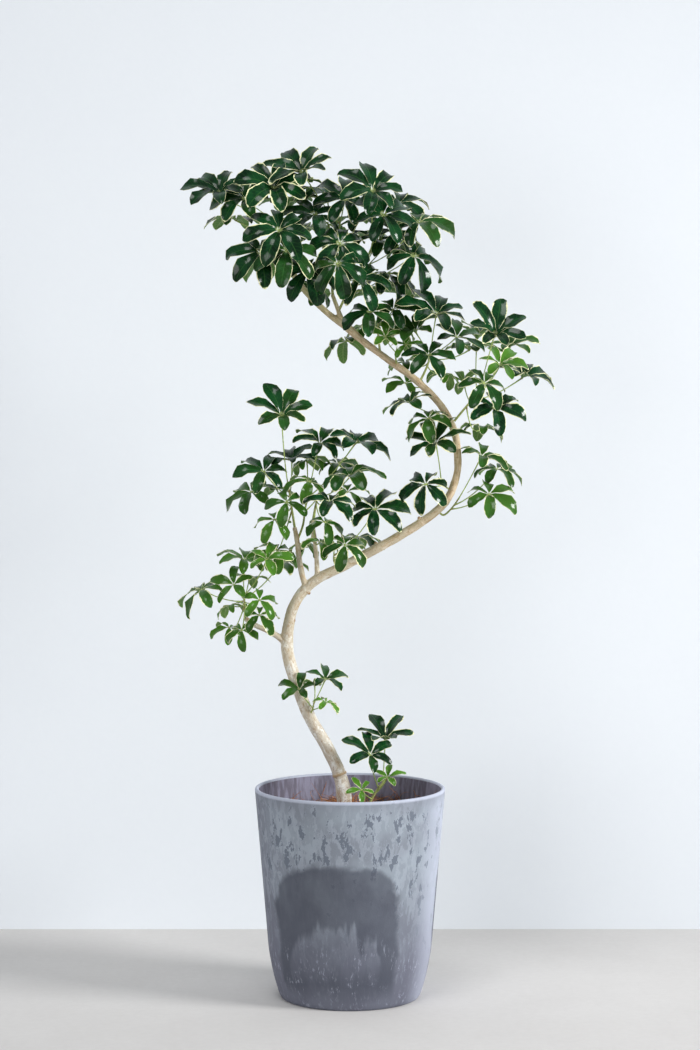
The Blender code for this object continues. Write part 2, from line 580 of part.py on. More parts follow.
class Leaf:
    """One palmate leaf: a hub on a stalk with leaflets all round it, in one thin body. Its youth runs
    from -1 for a shoot's lowest leaf to 1 for its topmost."""

    def __init__(self, shoot, root, youth, place, draw):
        x, z, length, side = place
        self.root = root
        self.length = length * CENTIMETRE
        self.count = next(count for least, count in LEAFLETS_BY_LENGTH if length >= least)
        front = Vector((root.x, 0.0, root.z)) - Vector((x, 0.0, z + TABLE_FLOOR)) * CENTIMETRE
        spread = draw.uniform(1.0 - REACH_SPREAD, 1.0 + REACH_SPREAD)
        reach = max(shoot.reach * spread * CENTIMETRE, front.length * LEAST_SLANT)
        self.depth = root.y / CENTIMETRE + side * math.sqrt(reach**2 - front.length**2) / CENTIMETRE
        self.place = (x, z)
        lift = shoot.lift + YOUNG_LIFT * youth
        droop = shoot.droop + YOUNG_DROOP * youth
        self.lift = math.radians(lift + draw.uniform(-LIFT_SPREAD, LIFT_SPREAD))
        self.droop = math.radians(droop + draw.uniform(-DROOP_SPREAD, DROOP_SPREAD))
        self.facing = shoot.facing
        leans = [draw.uniform(-LEAN_SPREAD, LEAN_SPREAD) for _ in range(2)]
        self.lean = Vector((*leans, 0.0))
        self.spin = math.pi + math.tau * (0.5 + draw.uniform(-SPIN_SPREAD, SPIN_SPREAD)) / self.count
        self.shares = [draw.uniform(1.0 - LEAFLET_SPREAD, 1.0) for _ in range(self.count)]
        self.tilts = [math.radians(draw.uniform(-TILT_SPREAD, TILT_SPREAD)) for _ in range(self.count)]
        self.settle(0.0, 0.0)

    def settle(self, depth_step, turn_step):
        """Place the hub and its axes for one step along the line of sight and one turn."""
        self.hub = sighted(self.place[0], self.depth + depth_step, self.place[1])
        outward = self.hub - self.root
        level = Vector((outward.x, outward.y, 0.0)) / max(outward.length, SHORTEST_OUTWARD)
        tilt = Vector((level.x * SIDE_TILT, (level.y * FRONT_TILT - LIGHT_TILT) * self.facing, 1.0))
        self.axis = (tilt + self.lean).normalized()
        self.out = (outward - self.axis * outward.dot(self.axis)).normalized()
        self.across = self.axis.cross(self.out)
        self.turn = self.spin + turn_step * math.tau / self.count

    def stalk(self):
        """Return the stalk's points from the stem to the hub, which it always meets from below."""
        span = self.hub - self.root
        sag = max(span.length * STALK_SAG, span.length * STALK_RISE - span.dot(self.axis))
        bend = self.root + span * 0.5 - self.axis * sag
        points = []
        for step in range(STALK_SEGMENTS + 1):
            t = step / STALK_SEGMENTS
            points.append(self.root * (1 - t) ** 2 + bend * 2 * t * (1 - t) + self.hub * t**2)
        return points

    def leaflet(self, index):
        """Return a leaflet's direction, length and rise at the hub."""
        angle = self.turn + math.tau * index / self.count
        radial = self.out * math.cos(angle) + self.across * math.sin(angle)
        inward = (1.0 - math.cos(angle)) / 2
        length = self.length * self.shares[index] * (1.0 - (1.0 - SHORTEST_LEAFLET) * inward)
        return radial, length, self.lift + self.tilts[index]

    def rib_point(self, index, t):
        """Return the place, the side direction and the normal at a share t of a leaflet."""
        radial, length, lift = self.leaflet(index)
        rise = lift - self.droop * t
        run = (math.sin(lift) - math.sin(rise)) / self.droop
        climb = (math.cos(rise) - math.cos(lift)) / self.droop
        place = self.hub + (radial * run + self.axis * climb) * length
        normal = self.axis * math.cos(rise) - radial * math.sin(rise)
        return place, self.axis.cross(radial), normal

    def body(self, swell=0.0, with_stalk=True):
        """Return the leaf, or its blades alone, as one closed bmesh: two sheets that share their outline."""
        bm = bmesh.new()
        upper_hub = bm.verts.new(self.hub + self.axis * (HUB_HALF_THICKNESS + swell))
        rims = []
        for index in range(self.count):
            angle = self.turn + math.tau * (index - 0.5) / self.count
            radial = self.out * math.cos(angle) + self.across * math.sin(angle)
            rise = radial * math.cos(self.lift) + self.axis * math.sin(self.lift)
            rims.append([bm.verts.new(self.hub + rise * HUB_RADIUS)])
        ribs = [self.add_leaflet(bm, index, rims, swell) for index in range(self.count)]
        outline = [[rims[index][0], ribs[index][sheet]] for sheet in (0, 1) for index in range(self.count)]
        upper = [corner for pair in outline[:self.count] for corner in pair]
        lower = [corner for pair in outline[self.count:] for corner in pair]
        for first, second in zip(upper, upper[1:] + upper[:1]):
            bm.faces.new((upper_hub, first, second))
        if with_stalk:
            self.add_stalk(bm, lower)
        else:
            lower_hub = bm.verts.new(self.hub - self.axis * (HUB_HALF_THICKNESS + swell))
            for first, second in zip(lower, lower[1:] + lower[:1]):
                bm.faces.new((lower_hub, second, first))
        bmesh.ops.recalc_face_normals(bm, faces=bm.faces)
        return bm

    def add_leaflet(self, bm, index, rims, swell):
        """Add one leaflet's two sheets outside its hub and return its upper and lower rib corners."""
        length = self.leaflet(index)[1]
        edges = []
        for share, half_width in ((NEAR_SHARE, NEAR_HALF_WIDTH), (FAR_SHARE, FAR_HALF_WIDTH)):
            place, sideways, normal = self.rib_point(index, share)
            half = half_width * length + swell
            edges.append([
                bm.verts.new(place + sideways * (half * side) + normal * (half * BLADE_FOLD))
                for side in (-1, 1)
            ])
        place, sideways, normal = self.rib_point(index, NEAR_SHARE)
        thickness = BLADE_HALF_THICKNESS + swell
        ribs = [bm.verts.new(place + normal * (thickness * side)) for side in (1, -1)]
        tip = bm.verts.new(self.rib_point(index, 1.0)[0])
        notches = (rims[index][0], rims[(index + 1) % self.count][0])
        for rib in ribs:
            for notch, near_edge, far_edge in zip(notches, *edges):
                bm.faces.new((notch, near_edge, rib))
                bm.faces.new((rib, near_edge, far_edge))
                bm.faces.new((rib, far_edge, tip))
        return ribs

    def add_stalk(self, bm, outline):
        """Run the stalk from the lower outline round the hub down to its root."""
        line = self.stalk()
        rings = []
        for step, place in enumerate(reversed(line)):
            share = step / STALK_SEGMENTS
            radius = STALK_TIP_RADIUS + (STALK_ROOT_RADIUS - STALK_TIP_RADIUS) * share
            ahead = self.axis if step == 0 else (line[-step] - line[-step - 1]).normalized()
            sideways = self.across.cross(ahead)
            centre = place - self.axis * (HUB_HALF_THICKNESS if step == 0 else 0.0)
            ring = []
            for corner in range(STALK_SIDES):
                angle = self.turn + math.tau * (corner / STALK_SIDES - 0.5 / self.count)
                ring.append(bm.verts.new(
                    centre + (sideways * math.cos(angle) + self.across * math.sin(angle)) * radius
                ))
            rings.append(ring)
        for number, (first, second) in enumerate(zip(outline, outline[1:] + outline[:1])):
            corner = number * STALK_SIDES // len(outline)
            following = (number + 1) * STALK_SIDES // len(outline) % STALK_SIDES
            bm.faces.new((rings[0][corner], first, second))
            if following != corner:
                bm.faces.new((rings[0][corner], second, rings[0][following]))
        for upper, lower in zip(rings, rings[1:]):
            for corner in range(STALK_SIDES):
                following = (corner + 1) % STALK_SIDES
                bm.faces.new((upper[corner], upper[following], lower[following]))
                bm.faces.new((upper[corner], lower[following], lower[corner]))
        bm.faces.new(rings[-1])


def blade_tree(leaf):
    """Return a search tree over a leaf's slightly swollen blades."""
    bm = leaf.body(SWELL, with_stalk=False)
    tree = BVHTree.FromBMesh(bm)
    bm.free()
    return tree


def dense(points, spacing=0.004):
    """Return points along a line no farther apart than the spacing."""
    filled = []
    for start, end in zip(points, points[1:]):
        steps = max(1, math.ceil((end - start).length / spacing))
        filled += [start.lerp(end, step / steps) for step in range(steps)]
    return filled + [points[-1]]


def line_touches(points, tree, margin):
    """Tell whether a thin line passes within a margin of a search tree's faces."""
    return any(tree.find_nearest(point, margin)[0] is not None for point in points)


@dataclass
class Placed:
    """A leaf that has its place, with what later leaves are held against."""

    node: str
    leaf: Leaf
    tree: BVHTree
    line: list


def clashes(node, leaf, placed, stems, wood_trees):
    """Count what a leaf would touch, with more weight on another node's pieces than on its own's."""
    tree = blade_tree(leaf)
    stalk = dense(leaf.stalk())
    free = stalk[int(len(stalk) * STALK_FREE_START):]
    count = 0
    for wood in wood_trees:
        if tree.overlap(wood) or line_touches(free, wood, STALK_MARGIN):
            count += OTHER_NODE_WEIGHT
    for stem_node, line in stems.items():
        if line_touches(line, tree, STEM_MARGIN):
            count += 1 if stem_node == node else OTHER_NODE_WEIGHT
    for other in placed:
        if (other.leaf.hub - leaf.hub).length > other.leaf.length + leaf.length + LONGEST_STALK:
            continue
        weight = 1 if other.node == node else OTHER_NODE_WEIGHT
        if tree.overlap(other.tree):
            count += weight
        if line_touches(stalk[1:], other.tree, STALK_MARGIN):
            count += weight
        if line_touches(other.line[1:], tree, STALK_MARGIN):
            count += weight
        if other.node != node and nearest(stalk, other.line) < STEM_MARGIN:
            count += weight
    return count, tree, stalk


def nearest(line, other_line):
    """Return the least distance between two lines' points."""
    return min((a - b).length for a in line for b in other_line)


def set_leaf(node, leaf, placed, stems, wood_trees):
    """Give a leaf the first place where it touches nothing, or else the place with the least."""
    best = None
    for depth_step in DEPTH_STEPS_CM:
        for turn_step in TURN_STEPS:
            leaf.settle(depth_step, turn_step)
            count, tree, stalk = clashes(node, leaf, placed, stems, wood_trees)
            if best is None or count < best[0]:
                best = (count, depth_step, turn_step, tree, stalk)
            if count == 0:
                break
        if best[0] == 0:
            break
    leaf.settle(best[1], best[2])
    placed.append(Placed(node, leaf, best[3], best[4]))
    return best[0]


def stem_path(shoot):
    """Return a shoot's smooth centre line."""
    return smooth_path([sighted(*point) for point in shoot.path], POINTS_PER_STEM_SPAN)


def along(path, share):
    """Return the point at a share of a path's length."""
    lengths = [(end - start).length for start, end in zip(path, path[1:])]
    left = share * sum(lengths)
    for start, end, length in zip(path, path[1:], lengths):
        if left <= length:
            return start.lerp(end, left / length)
        left -= length
    return path[-1].copy()


def leaf_roots(shoot):
    """Return the places on a shoot's stem where its leaves grow, spaced evenly up to its tip."""
    path = stem_path(shoot)
    step = (LAST_LEAF_SHARE - shoot.bare) / len(shoot.leaves)
    return [along(path, shoot.bare + step * (rank + 1)) for rank in range(len(shoot.leaves))]


def plan_leaves(wood_trees):
    """Place every leaf of every shoot, clear of all that stands before it."""
    stems = {name: dense(stem_path(shoot))[4:] for name, shoot in SHOOTS.items()}
    placed = []
    plan = {}
    for number, (name, shoot) in enumerate(SHOOTS.items()):
        draw = random.Random(SEED + number)
        roots = leaf_roots(shoot)
        plan[name] = []
        places = sorted(shoot.leaves, key=lambda leaf: leaf[1])
        for rank, (root, place) in enumerate(zip(roots, places)):
            youth = 2.0 * (rank + 0.5) / len(places) - 1.0
            leaf = Leaf(shoot, root, youth, place, draw)
            left = set_leaf(name, leaf, placed, stems, wood_trees)
            if left:
                print("touching", name, place, left)
            plan[name].append(leaf)
    return plan


def build_shoot(name, shoot, leaves, collection, material, seat):
    """Join a stem with its stalks and leaves, and cut its foot to the wood that it grows from."""
    pieces = new_collection(name + "_pieces")
    path = stem_path(shoot)
    taper = STEM_TAPER / (len(path) - 1)
    radii = [shoot.radius * MILLIMETRE * (1.0 - taper * step) for step in range(len(path))]
    stem = tube(name, path, radii, TUBE_DETAIL["stem"], collection)
    for leaf in leaves:
        add_object("leaf", bmesh_to_mesh(leaf.body(), "leaf"), pieces)
    fused(stem, pieces)
    cut(stem, seat)
    baked(stem)
    stem.data.materials.clear()
    stem.data.materials.append(material)
    return stem


def main():
    """Build the plant and its planter."""
    clear_scene()
    parts = new_collection("potted_umbrella_tree")
    cutters = new_collection("cutters")
    pot_grey = principled("pot_grey", (0.17, 0.18, 0.22), 0.62)
    soil_brown = principled("soil_brown", (0.05, 0.035, 0.025), 0.95)
    fibre_brown = principled("fibre_brown", (0.30, 0.16, 0.08), 0.9)
    bark_beige = principled("bark_beige", (0.50, 0.42, 0.31), 0.75)
    leaf_green = principled("leaf_green", (0.05, 0.16, 0.06), 0.3)

    build_pot(parts, cutters, pot_grey)
    soil = build_soil(parts, soil_brown)
    mulch = build_mulch(parts, fibre_brown)
    trunk = build_wood("trunk", 0.0, parts, bark_beige)
    seat = as_cutter(build_wood("wood_seat", GAP, cutters))
    sprout = SHOOTS["pot_sprout"]
    sprout_path = stem_path(sprout)
    sprout_path[0] -= Vector((0.0, 0.0, GAP))
    hole_radii = [sprout.radius * MILLIMETRE + GAP * 2] * len(sprout_path)
    sprout_hole = as_cutter(tube("sprout_hole", sprout_path, hole_radii, TUBE_DETAIL["stem"], cutters))
    for filling in (soil, mulch):
        cut(filling, seat)
        cut(filling, sprout_hole)
        baked(filling)
        shade_round(filling)

    plan = plan_leaves([solid_tree(trunk), solid_tree(mulch)])
    for name, shoot in SHOOTS.items():
        build_shoot(name, shoot, plan[name], parts, leaf_green, seat)


if __name__ == "__main__":
    main()
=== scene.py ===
"""Potted variegated umbrella tree: its looks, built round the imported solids.

The frame is in metres, +Z up, with the origin under the planter's centre and the front at -Y.
"""

import logging
import math
import random
from collections.abc import Sequence
from dataclasses import dataclass
from enum import Enum

import bmesh
import bpy
from mathutils import Matrix, Vector, noise
from mathutils.kdtree import KDTree


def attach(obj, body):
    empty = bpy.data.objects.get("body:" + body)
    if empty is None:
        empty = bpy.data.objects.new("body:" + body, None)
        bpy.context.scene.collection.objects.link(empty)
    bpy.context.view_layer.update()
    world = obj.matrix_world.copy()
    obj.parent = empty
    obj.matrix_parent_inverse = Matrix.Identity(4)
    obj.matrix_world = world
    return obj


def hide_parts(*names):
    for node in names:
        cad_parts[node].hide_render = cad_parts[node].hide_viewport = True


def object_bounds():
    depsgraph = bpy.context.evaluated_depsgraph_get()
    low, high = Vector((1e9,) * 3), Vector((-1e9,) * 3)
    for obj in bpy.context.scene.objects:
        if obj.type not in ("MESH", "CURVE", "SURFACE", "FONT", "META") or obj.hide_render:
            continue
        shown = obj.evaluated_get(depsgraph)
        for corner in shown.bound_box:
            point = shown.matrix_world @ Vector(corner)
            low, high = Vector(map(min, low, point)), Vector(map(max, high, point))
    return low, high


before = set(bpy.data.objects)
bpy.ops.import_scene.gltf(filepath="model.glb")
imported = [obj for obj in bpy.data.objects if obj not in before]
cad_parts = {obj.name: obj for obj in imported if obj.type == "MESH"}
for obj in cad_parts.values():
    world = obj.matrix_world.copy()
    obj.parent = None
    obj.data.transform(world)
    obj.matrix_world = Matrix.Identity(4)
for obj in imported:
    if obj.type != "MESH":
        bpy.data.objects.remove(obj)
CAD_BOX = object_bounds()
LOG = logging.getLogger("umbrella_tree")

# Places are read in a front view from this eye, so a depth moves a point along its line of sight
EYE = Vector((0.0, -5.5, 1.299))
CENTIMETRE = 0.01
MILLIMETRE = 0.001

# Heights in the plant's tables are read from this far above the floor, in cm
TABLE_FLOOR = 0.9

# Where the random draws start
SEED = 2026

# Edges over this angle stay sharp on turned and cut pieces
SHARP_DEGREES = 60.0

# Trunk from its root to its tip: x, depth and z in cm, then radius in mm
TRUNK = (
    (-0.7, 0.0, 26.0, 15.0),
    (-1.1, 0.0, 38.1, 15.5),
    (-2.1, 0.2, 43.7, 13.4),
    (-4.8, 0.4, 49.5, 12.8),
    (-8.2, 0.6, 55.5, 12.6),
    (-10.5, 0.9, 61.6, 12.5),
    (-12.2, 1.0, 67.0, 12.6),
    (-12.5, 0.9, 70.8, 12.2),
    (-12.0, 0.6, 74.6, 11.3),
    (-10.9, 0.4, 77.9, 10.6),
    (-9.0, 0.2, 80.6, 10.4),
    (-6.0, -0.1, 83.0, 10.1),
    (-2.0, -0.5, 84.9, 9.9),
    (3.3, -1.0, 87.7, 9.6),
    (10.2, -1.6, 91.5, 9.1),
    (16.4, -2.0, 95.6, 8.5),
    (19.4, -2.1, 98.8, 7.9),
    (21.1, -1.9, 103.2, 7.4),
    (21.3, -1.4, 107.2, 7.3),
    (20.6, -0.8, 112.1, 7.3),
    (17.8, 0.0, 117.3, 7.2),
    (13.0, 0.5, 122.1, 7.2),
    (7.0, 1.0, 126.5, 7.0),
    (2.3, 1.0, 130.0, 7.3),
    (-0.9, 0.8, 132.8, 8.2),
    (-4.3, 0.5, 135.2, 6.4),
    (-8.3, 0.1, 139.0, 5.8),
    (-10.8, -0.2, 142.6, 5.3),
    (-11.6, -0.3, 144.2, 4.4),
)

# Woody branches, each from inside the trunk to its tip, in the trunk's units
BRANCHES = (
    ((-12.4, 0.9, 69.5, 7.5), (-14.2, 0.6, 71.2, 6.3), (-16.5, 0.3, 72.5, 5.8),
     (-19.0, 0.0, 73.6, 5.6), (-21.0, -0.2, 75.0, 5.0)),
    ((-8.6, 0.1, 80.6, 7.0), (-9.5, -0.3, 83.5, 5.8), (-10.1, -0.6, 87.0, 5.3),
     (-10.5, -0.6, 90.5, 5.0), (-11.0, -0.5, 93.0, 4.6)),
    ((-6.5, 0.0, 82.6, 6.0), (-6.6, -0.2, 86.0, 4.8), (-7.0, -0.4, 90.5, 4.5), (-7.5, -0.5, 94.5, 4.0)),
    ((-1.2, 0.8, 132.6, 6.0), (-2.4, 0.7, 136.0, 4.8), (-3.5, 0.5, 139.0, 4.2)),
)

# Stubs left where twigs were cut away: centre on the trunk and the way each one points, in cm
STUBS = (
    ((-1.8, -0.5, 85.0), (-0.6, -0.3, 1.0)),
    ((5.5, -1.1, 89.0), (-0.5, -0.3, 1.0)),
    ((14.2, -1.9, 94.1), (-0.7, -0.3, 1.0)),
    ((-12.0, 0.6, 74.4), (1.0, -0.3, 0.1)),
    ((-8.8, 0.2, 80.5), (0.8, -0.3, -0.7)),
    ((-1.0, 0.8, 132.8), (-0.2, -0.9, -0.4)),
)

# Leaves: how leaflets grow out of their hub and how much leaves differ, in part with the solids
LEAFLETS_BY_LENGTH = ((8.6, 7), (6.4, 6), (0.0, 5))
SHORTEST_LEAFLET = 0.72
SIDE_TILT = 0.18
FRONT_TILT = 0.80
LIGHT_TILT = 0.52
LEAFLET_SPREAD = 0.06
STALK_SAG = 0.20
STALK_RISE = 0.08
LAST_LEAF_SHARE = 0.99
REACH_SPREAD = 0.15
LIFT_SPREAD = 9.0
DROOP_SPREAD = 12.0
TILT_SPREAD = 7.0
LEAN_SPREAD = 0.33
SPIN_SPREAD = 0.08
LEAST_SLANT = 1.04
SHORTEST_OUTWARD = 0.02
YOUNG_LIFT = 16.0
YOUNG_DROOP = -14.0
DEPTH_STEPS_CM = (0.0, 1.0, -1.0, 2.0, -2.0, 3.0, -3.0, 4.0, -4.0, 5.5, -5.5)
TURN_STEPS = (0.0, 0.14, -0.14)
TIP_MATCH = 0.0003


class Age(Enum):
    """How far a shoot has grown: its cream margins and how fresh its green is, each up to 1."""

    CROWN = (0.20, 0.02)
    BRANCH = (0.26, 0.08)
    HEART = (0.22, 0.05)
    YOUNG = (0.34, 0.10)
    SPROUT = (0.40, -0.05)


@dataclass(frozen=True)
class Shoot:
    """One leafy stem. Its path is in cm and starts inside what it grows from, its radius in mm.

    Bare is the share of its length below the first leaf. Reach is the usual distance from stem to
    leaf hub in cm, lift and droop are the leaflets' rise at the hub and the bend to their tips in
    degrees, and facing is how far its leaves turn to the light in front. Each leaf is x, z, longest
    leaflet (cm) and side: -1 before the stem, 1 behind it.
    """

    age: Age
    path: tuple
    radius: float
    bare: float
    reach: float
    lift: float
    droop: float
    facing: float
    leaves: tuple


SHOOTS = {
    "shoot_crown_left": Shoot(
        Age.CROWN,
        ((-11.4, -0.3, 143.7), (-12.5, 0.0, 148.5), (-13.5, 0.4, 152.5), (-14.0, 0.5, 155.0)),
        2.9, 0.18, 9.5, 36.0, 100.0, 0.95,
        ((-25.5, 158.5, 9.1, -1), (-22.5, 153.5, 7.6, 1), (-20.5, 157.5, 8.6, -1),
         (-15.0, 159.5, 9.6, -1), (-12.0, 156.0, 8.4, 1), (-14.0, 151.5, 9.1, -1),
         (-12.5, 147.5, 9.1, -1), (-17.5, 147.0, 9.1, -1), (-16.5, 145.5, 7.6, 1),
         (-8.5, 143.5, 8.6, -1), (-9.0, 152.0, 8.1, 1), (-7.5, 140.5, 6.6, 1)),
    ),
    "shoot_crown_top": Shoot(
        Age.CROWN,
        ((-3.4, 0.5, 138.6), (-3.6, 0.5, 144.0), (-2.8, 0.6, 148.5), (-2.0, 0.6, 153.0)),
        2.9, 0.18, 9.0, 34.0, 94.0, 0.95,
        ((-9.2, 163.2, 9.6, -1), (-11.0, 159.8, 8.6, 1), (-7.0, 154.5, 9.1, -1),
         (-4.5, 158.0, 8.6, 1), (-1.0, 157.5, 9.1, -1), (-2.0, 149.0, 9.1, -1),
         (-2.5, 145.0, 8.6, -1), (1.5, 153.0, 8.1, 1), (2.0, 142.0, 8.1, -1), (-4.2, 152.5, 6.2, 1)),
    ),
    "shoot_crown_right": Shoot(
        Age.CROWN,
        ((-2.3, 0.7, 135.6), (-0.4, 1.3, 139.5), (2.2, 1.4, 144.0), (4.6, 1.2, 148.5)),
        2.8, 0.18, 9.0, 30.0, 100.0, 0.95,
        ((4.5, 159.0, 9.1, -1), (6.5, 154.5, 9.1, -1), (13.5, 153.0, 9.1, -1),
         (9.5, 156.5, 8.4, 1), (12.5, 146.5, 9.6, -1), (5.5, 149.5, 9.1, -1), (9.0, 151.0, 8.1, 1),
         (7.5, 143.0, 8.6, -1)),
    ),
    "shoot_shoulder": Shoot(
        Age.CROWN,
        ((6.0, 0.9, 127.1), (5.5, 0.6, 131.5), (5.6, 0.6, 134.0)),
        2.4, 0.45, 5.5, 32.0, 92.0, 0.85,
        ((4.0, 135.5, 7.6, -1), (5.0, 138.5, 7.1, 1), (8.5, 136.0, 7.1, -1),
         (11.0, 138.0, 8.1, 1), (9.5, 132.0, 6.1, 1), (2.8, 132.5, 5.6, 1)),
    ),
    "shoot_shoulder_small": Shoot(
        Age.SPROUT,
        ((9.3, 0.8, 124.7), (9.0, -0.4, 126.6), (9.1, -0.6, 127.6)),
        1.9, 0.45, 3.0, 34.0, 82.0, 0.9,
        ((7.0, 130.5, 5.1, -1), (11.0, 129.0, 5.1, -1)),
    ),
    "shoot_bend_top": Shoot(
        Age.BRANCH,
        ((13.7, 0.5, 121.6), (15.3, 0.8, 125.0), (16.0, 1.0, 128.0)),
        2.5, 0.45, 7.0, 34.0, 80.0, 0.9,
        ((13.0, 131.5, 8.1, -1), (17.0, 135.0, 9.1, -1), (21.0, 130.5, 7.1, -1),
         (23.5, 128.0, 7.6, 1), (15.5, 127.0, 7.1, -1), (18.5, 123.5, 6.1, 1),
         (11.0, 125.5, 6.1, 1)),
    ),
    "shoot_bend_right": Shoot(
        Age.BRANCH,
        ((20.6, -0.7, 114.0), (23.5, -0.5, 117.5), (25.5, 0.0, 119.5)),
        2.5, 0.45, 8.0, 46.0, 90.0, 0.85,
        ((28.5, 131.0, 8.6, -1), (31.5, 128.5, 7.6, 1), (25.0, 130.0, 7.1, 1),
         (29.5, 125.0, 6.6, -1), (34.5, 122.5, 8.6, 1), (26.5, 121.5, 7.1, -1),
         (22.5, 121.5, 6.1, 1), (28.5, 116.5, 8.1, -1), (26.0, 112.5, 7.1, 1)),
    ),
    "shoot_bend_foot": Shoot(
        Age.BRANCH,
        ((17.3, -2.0, 96.4), (18.5, -1.8, 95.4), (20.0, -1.6, 96.6), (21.2, -1.4, 98.2)),
        2.2, 0.45, 6.0, 26.0, 80.0, 0.8,
        ((26.0, 107.0, 7.1, -1), (29.0, 104.5, 7.6, 1), (27.5, 99.5, 7.6, -1)),
    ),
    "shoot_inner_low": Shoot(
        Age.SPROUT,
        ((20.0, -2.0, 100.3), (18.5, -2.9, 101.3), (18.0, -3.2, 102.0)),
        1.9, 0.45, 6.0, 28.0, 84.0, 0.8,
        ((17.0, 109.5, 8.6, -1), (15.0, 101.5, 7.6, -1)),
    ),
    "shoot_inner_high": Shoot(
        Age.BRANCH,
        ((19.9, -0.5, 114.0), (18.3, -1.3, 114.9), (17.6, -1.6, 115.5)),
        1.9, 0.45, 4.0, 32.0, 84.0, 0.6,
        ((15.5, 114.5, 7.1, -1), (12.0, 117.5, 7.1, -1)),
    ),
    "shoot_behind_bend": Shoot(
        Age.BRANCH,
        ((15.6, 0.3, 119.8), (14.6, 1.9, 120.4), (14.2, 2.2, 120.7)),
        1.9, 0.45, 3.5, 38.0, 74.0, 0.8,
        ((11.0, 121.5, 6.1, 1),),
    ),
    "shoot_shoulder_left": Shoot(
        Age.BRANCH,
        ((2.6, 1.0, 129.8), (1.4, 2.2, 130.0), (1.0, 2.6, 130.1)),
        1.8, 0.45, 3.0, 18.0, 92.0, 0.9,
        ((-0.8, 129.8, 6.6, 1),),
    ),
    "shoot_heart_left": Shoot(
        Age.HEART,
        ((-10.9, -0.5, 92.6), (-11.5, -0.5, 96.5), (-12.0, -0.2, 100.0)),
        2.6, 0.45, 7.0, 32.0, 88.0, 0.75,
        ((-13.5, 115.0, 8.6, -1), (-11.5, 106.0, 7.1, 1), (-17.0, 104.0, 7.6, -1),
         (-19.5, 100.0, 7.6, 1), (-12.5, 98.0, 6.1, -1), (-15.0, 94.5, 6.1, -1),
         (-14.5, 88.5, 6.6, -1), (-14.5, 100.5, 6.1, 1)),
    ),
    "shoot_heart_middle": Shoot(
        Age.HEART,
        ((-10.4, -0.5, 90.4), (-9.3, 0.4, 93.5), (-8.9, 0.8, 96.5), (-8.3, 1.0, 99.0)),
        2.4, 0.45, 7.0, 28.0, 100.0, 0.55,
        ((-6.0, 109.5, 7.6, -1), (-8.5, 106.0, 6.6, 1), (-8.0, 102.0, 6.6, -1),
         (1.0, 109.5, 8.6, -1), (-2.5, 105.5, 7.1, 1)),
    ),
    "shoot_heart_right": Shoot(
        Age.HEART,
        ((-7.4, -0.5, 94.1), (-6.9, -0.6, 97.0), (-6.4, -0.6, 99.0)),
        2.2, 0.45, 6.0, 28.0, 98.0, 0.55,
        ((0.0, 103.0, 8.6, -1), (-0.5, 100.0, 5.6, 1), (-4.0, 98.0, 7.1, -1),
         (-5.0, 94.0, 6.1, -1), (-6.0, 90.0, 5.6, -1), (-9.0, 89.5, 5.1, 1)),
    ),
    "shoot_heart_foot": Shoot(
        Age.SPROUT,
        ((-2.6, -0.5, 84.7), (-3.2, -1.3, 86.4), (-3.2, -1.6, 87.4)),
        2.1, 0.45, 5.0, 22.0, 90.0, 0.8,
        ((5.0, 96.5, 8.6, -1), (1.5, 91.0, 7.1, 1), (-1.0, 89.5, 7.1, -1)),
    ),
    "shoot_low_branch": Shoot(
        Age.YOUNG,
        ((-20.8, -0.2, 74.8), (-20.9, -0.3, 77.0), (-21.0, -0.3, 79.5)),
        2.4, 0.45, 5.5, 28.0, 94.0, 0.7,
        ((-30.0, 80.5, 7.6, -1), (-23.0, 81.5, 6.1, -1), (-20.0, 82.5, 5.6, 1),
         (-21.0, 86.5, 7.1, 1), (-16.5, 86.5, 6.1, -1), (-14.0, 85.5, 7.1, 1),
         (-23.5, 77.5, 5.1, 1), (-18.0, 78.5, 5.6, -1), (-18.0, 75.5, 5.6, -1),
         (-21.5, 72.5, 5.1, -1), (-24.0, 73.0, 5.1, 1)),
    ),
    "shoot_trunk_sprout": Shoot(
        Age.SPROUT,
        ((-8.1, 0.5, 55.2), (-7.4, -1.0, 56.8), (-7.2, -1.3, 57.9)),
        1.9, 0.45, 3.5, 44.0, 86.0, 0.6,
        ((-5.0, 62.5, 6.1, -1), (-10.0, 60.5, 5.6, -1), (-7.0, 61.5, 4.6, 1), (-4.8, 58.0, 4.1, -1)),
    ),
    "pot_sprout": Shoot(
        Age.SPROUT,
        ((3.2, -1.5, 29.0), (3.3, -1.5, 35.0), (4.0, -1.5, 38.0), (5.4, -1.5, 40.5), (6.6, -1.5, 42.0)),
        3.2, 0.62, 4.0, 46.0, 66.0, 0.8,
        ((4.0, 47.5, 7.1, -1), (7.0, 50.5, 7.6, 1), (7.5, 43.0, 4.1, -1), (2.3, 40.5, 3.8, -1)),
    ),
}


def display(red: int, green: int, blue: int) -> tuple[float, float, float, float]:
    """Return a colour as a shader takes it, from display values of 0 to 255.

    Args:
        red: Display red.
        green: Display green.
        blue: Display blue.

    Returns:
        The linear colour with full alpha.
    """
    linear = [((part / 255 + 0.055) / 1.055) ** 2.4 for part in (red, green, blue)]
    return (*linear, 1.0)


def clamped(value: float) -> float:
    """Return a value held between 0 and 1."""
    return min(max(value, 0.0), 1.0)


@dataclass(frozen=True)
class Grain:
    """A cloudy noise: its scale, detail, roughness and distortion, and its squash along each axis."""

    scale: float
    detail: float = 2.0
    roughness: float = 0.5
    distortion: float = 0.0
    squash: tuple | None = None


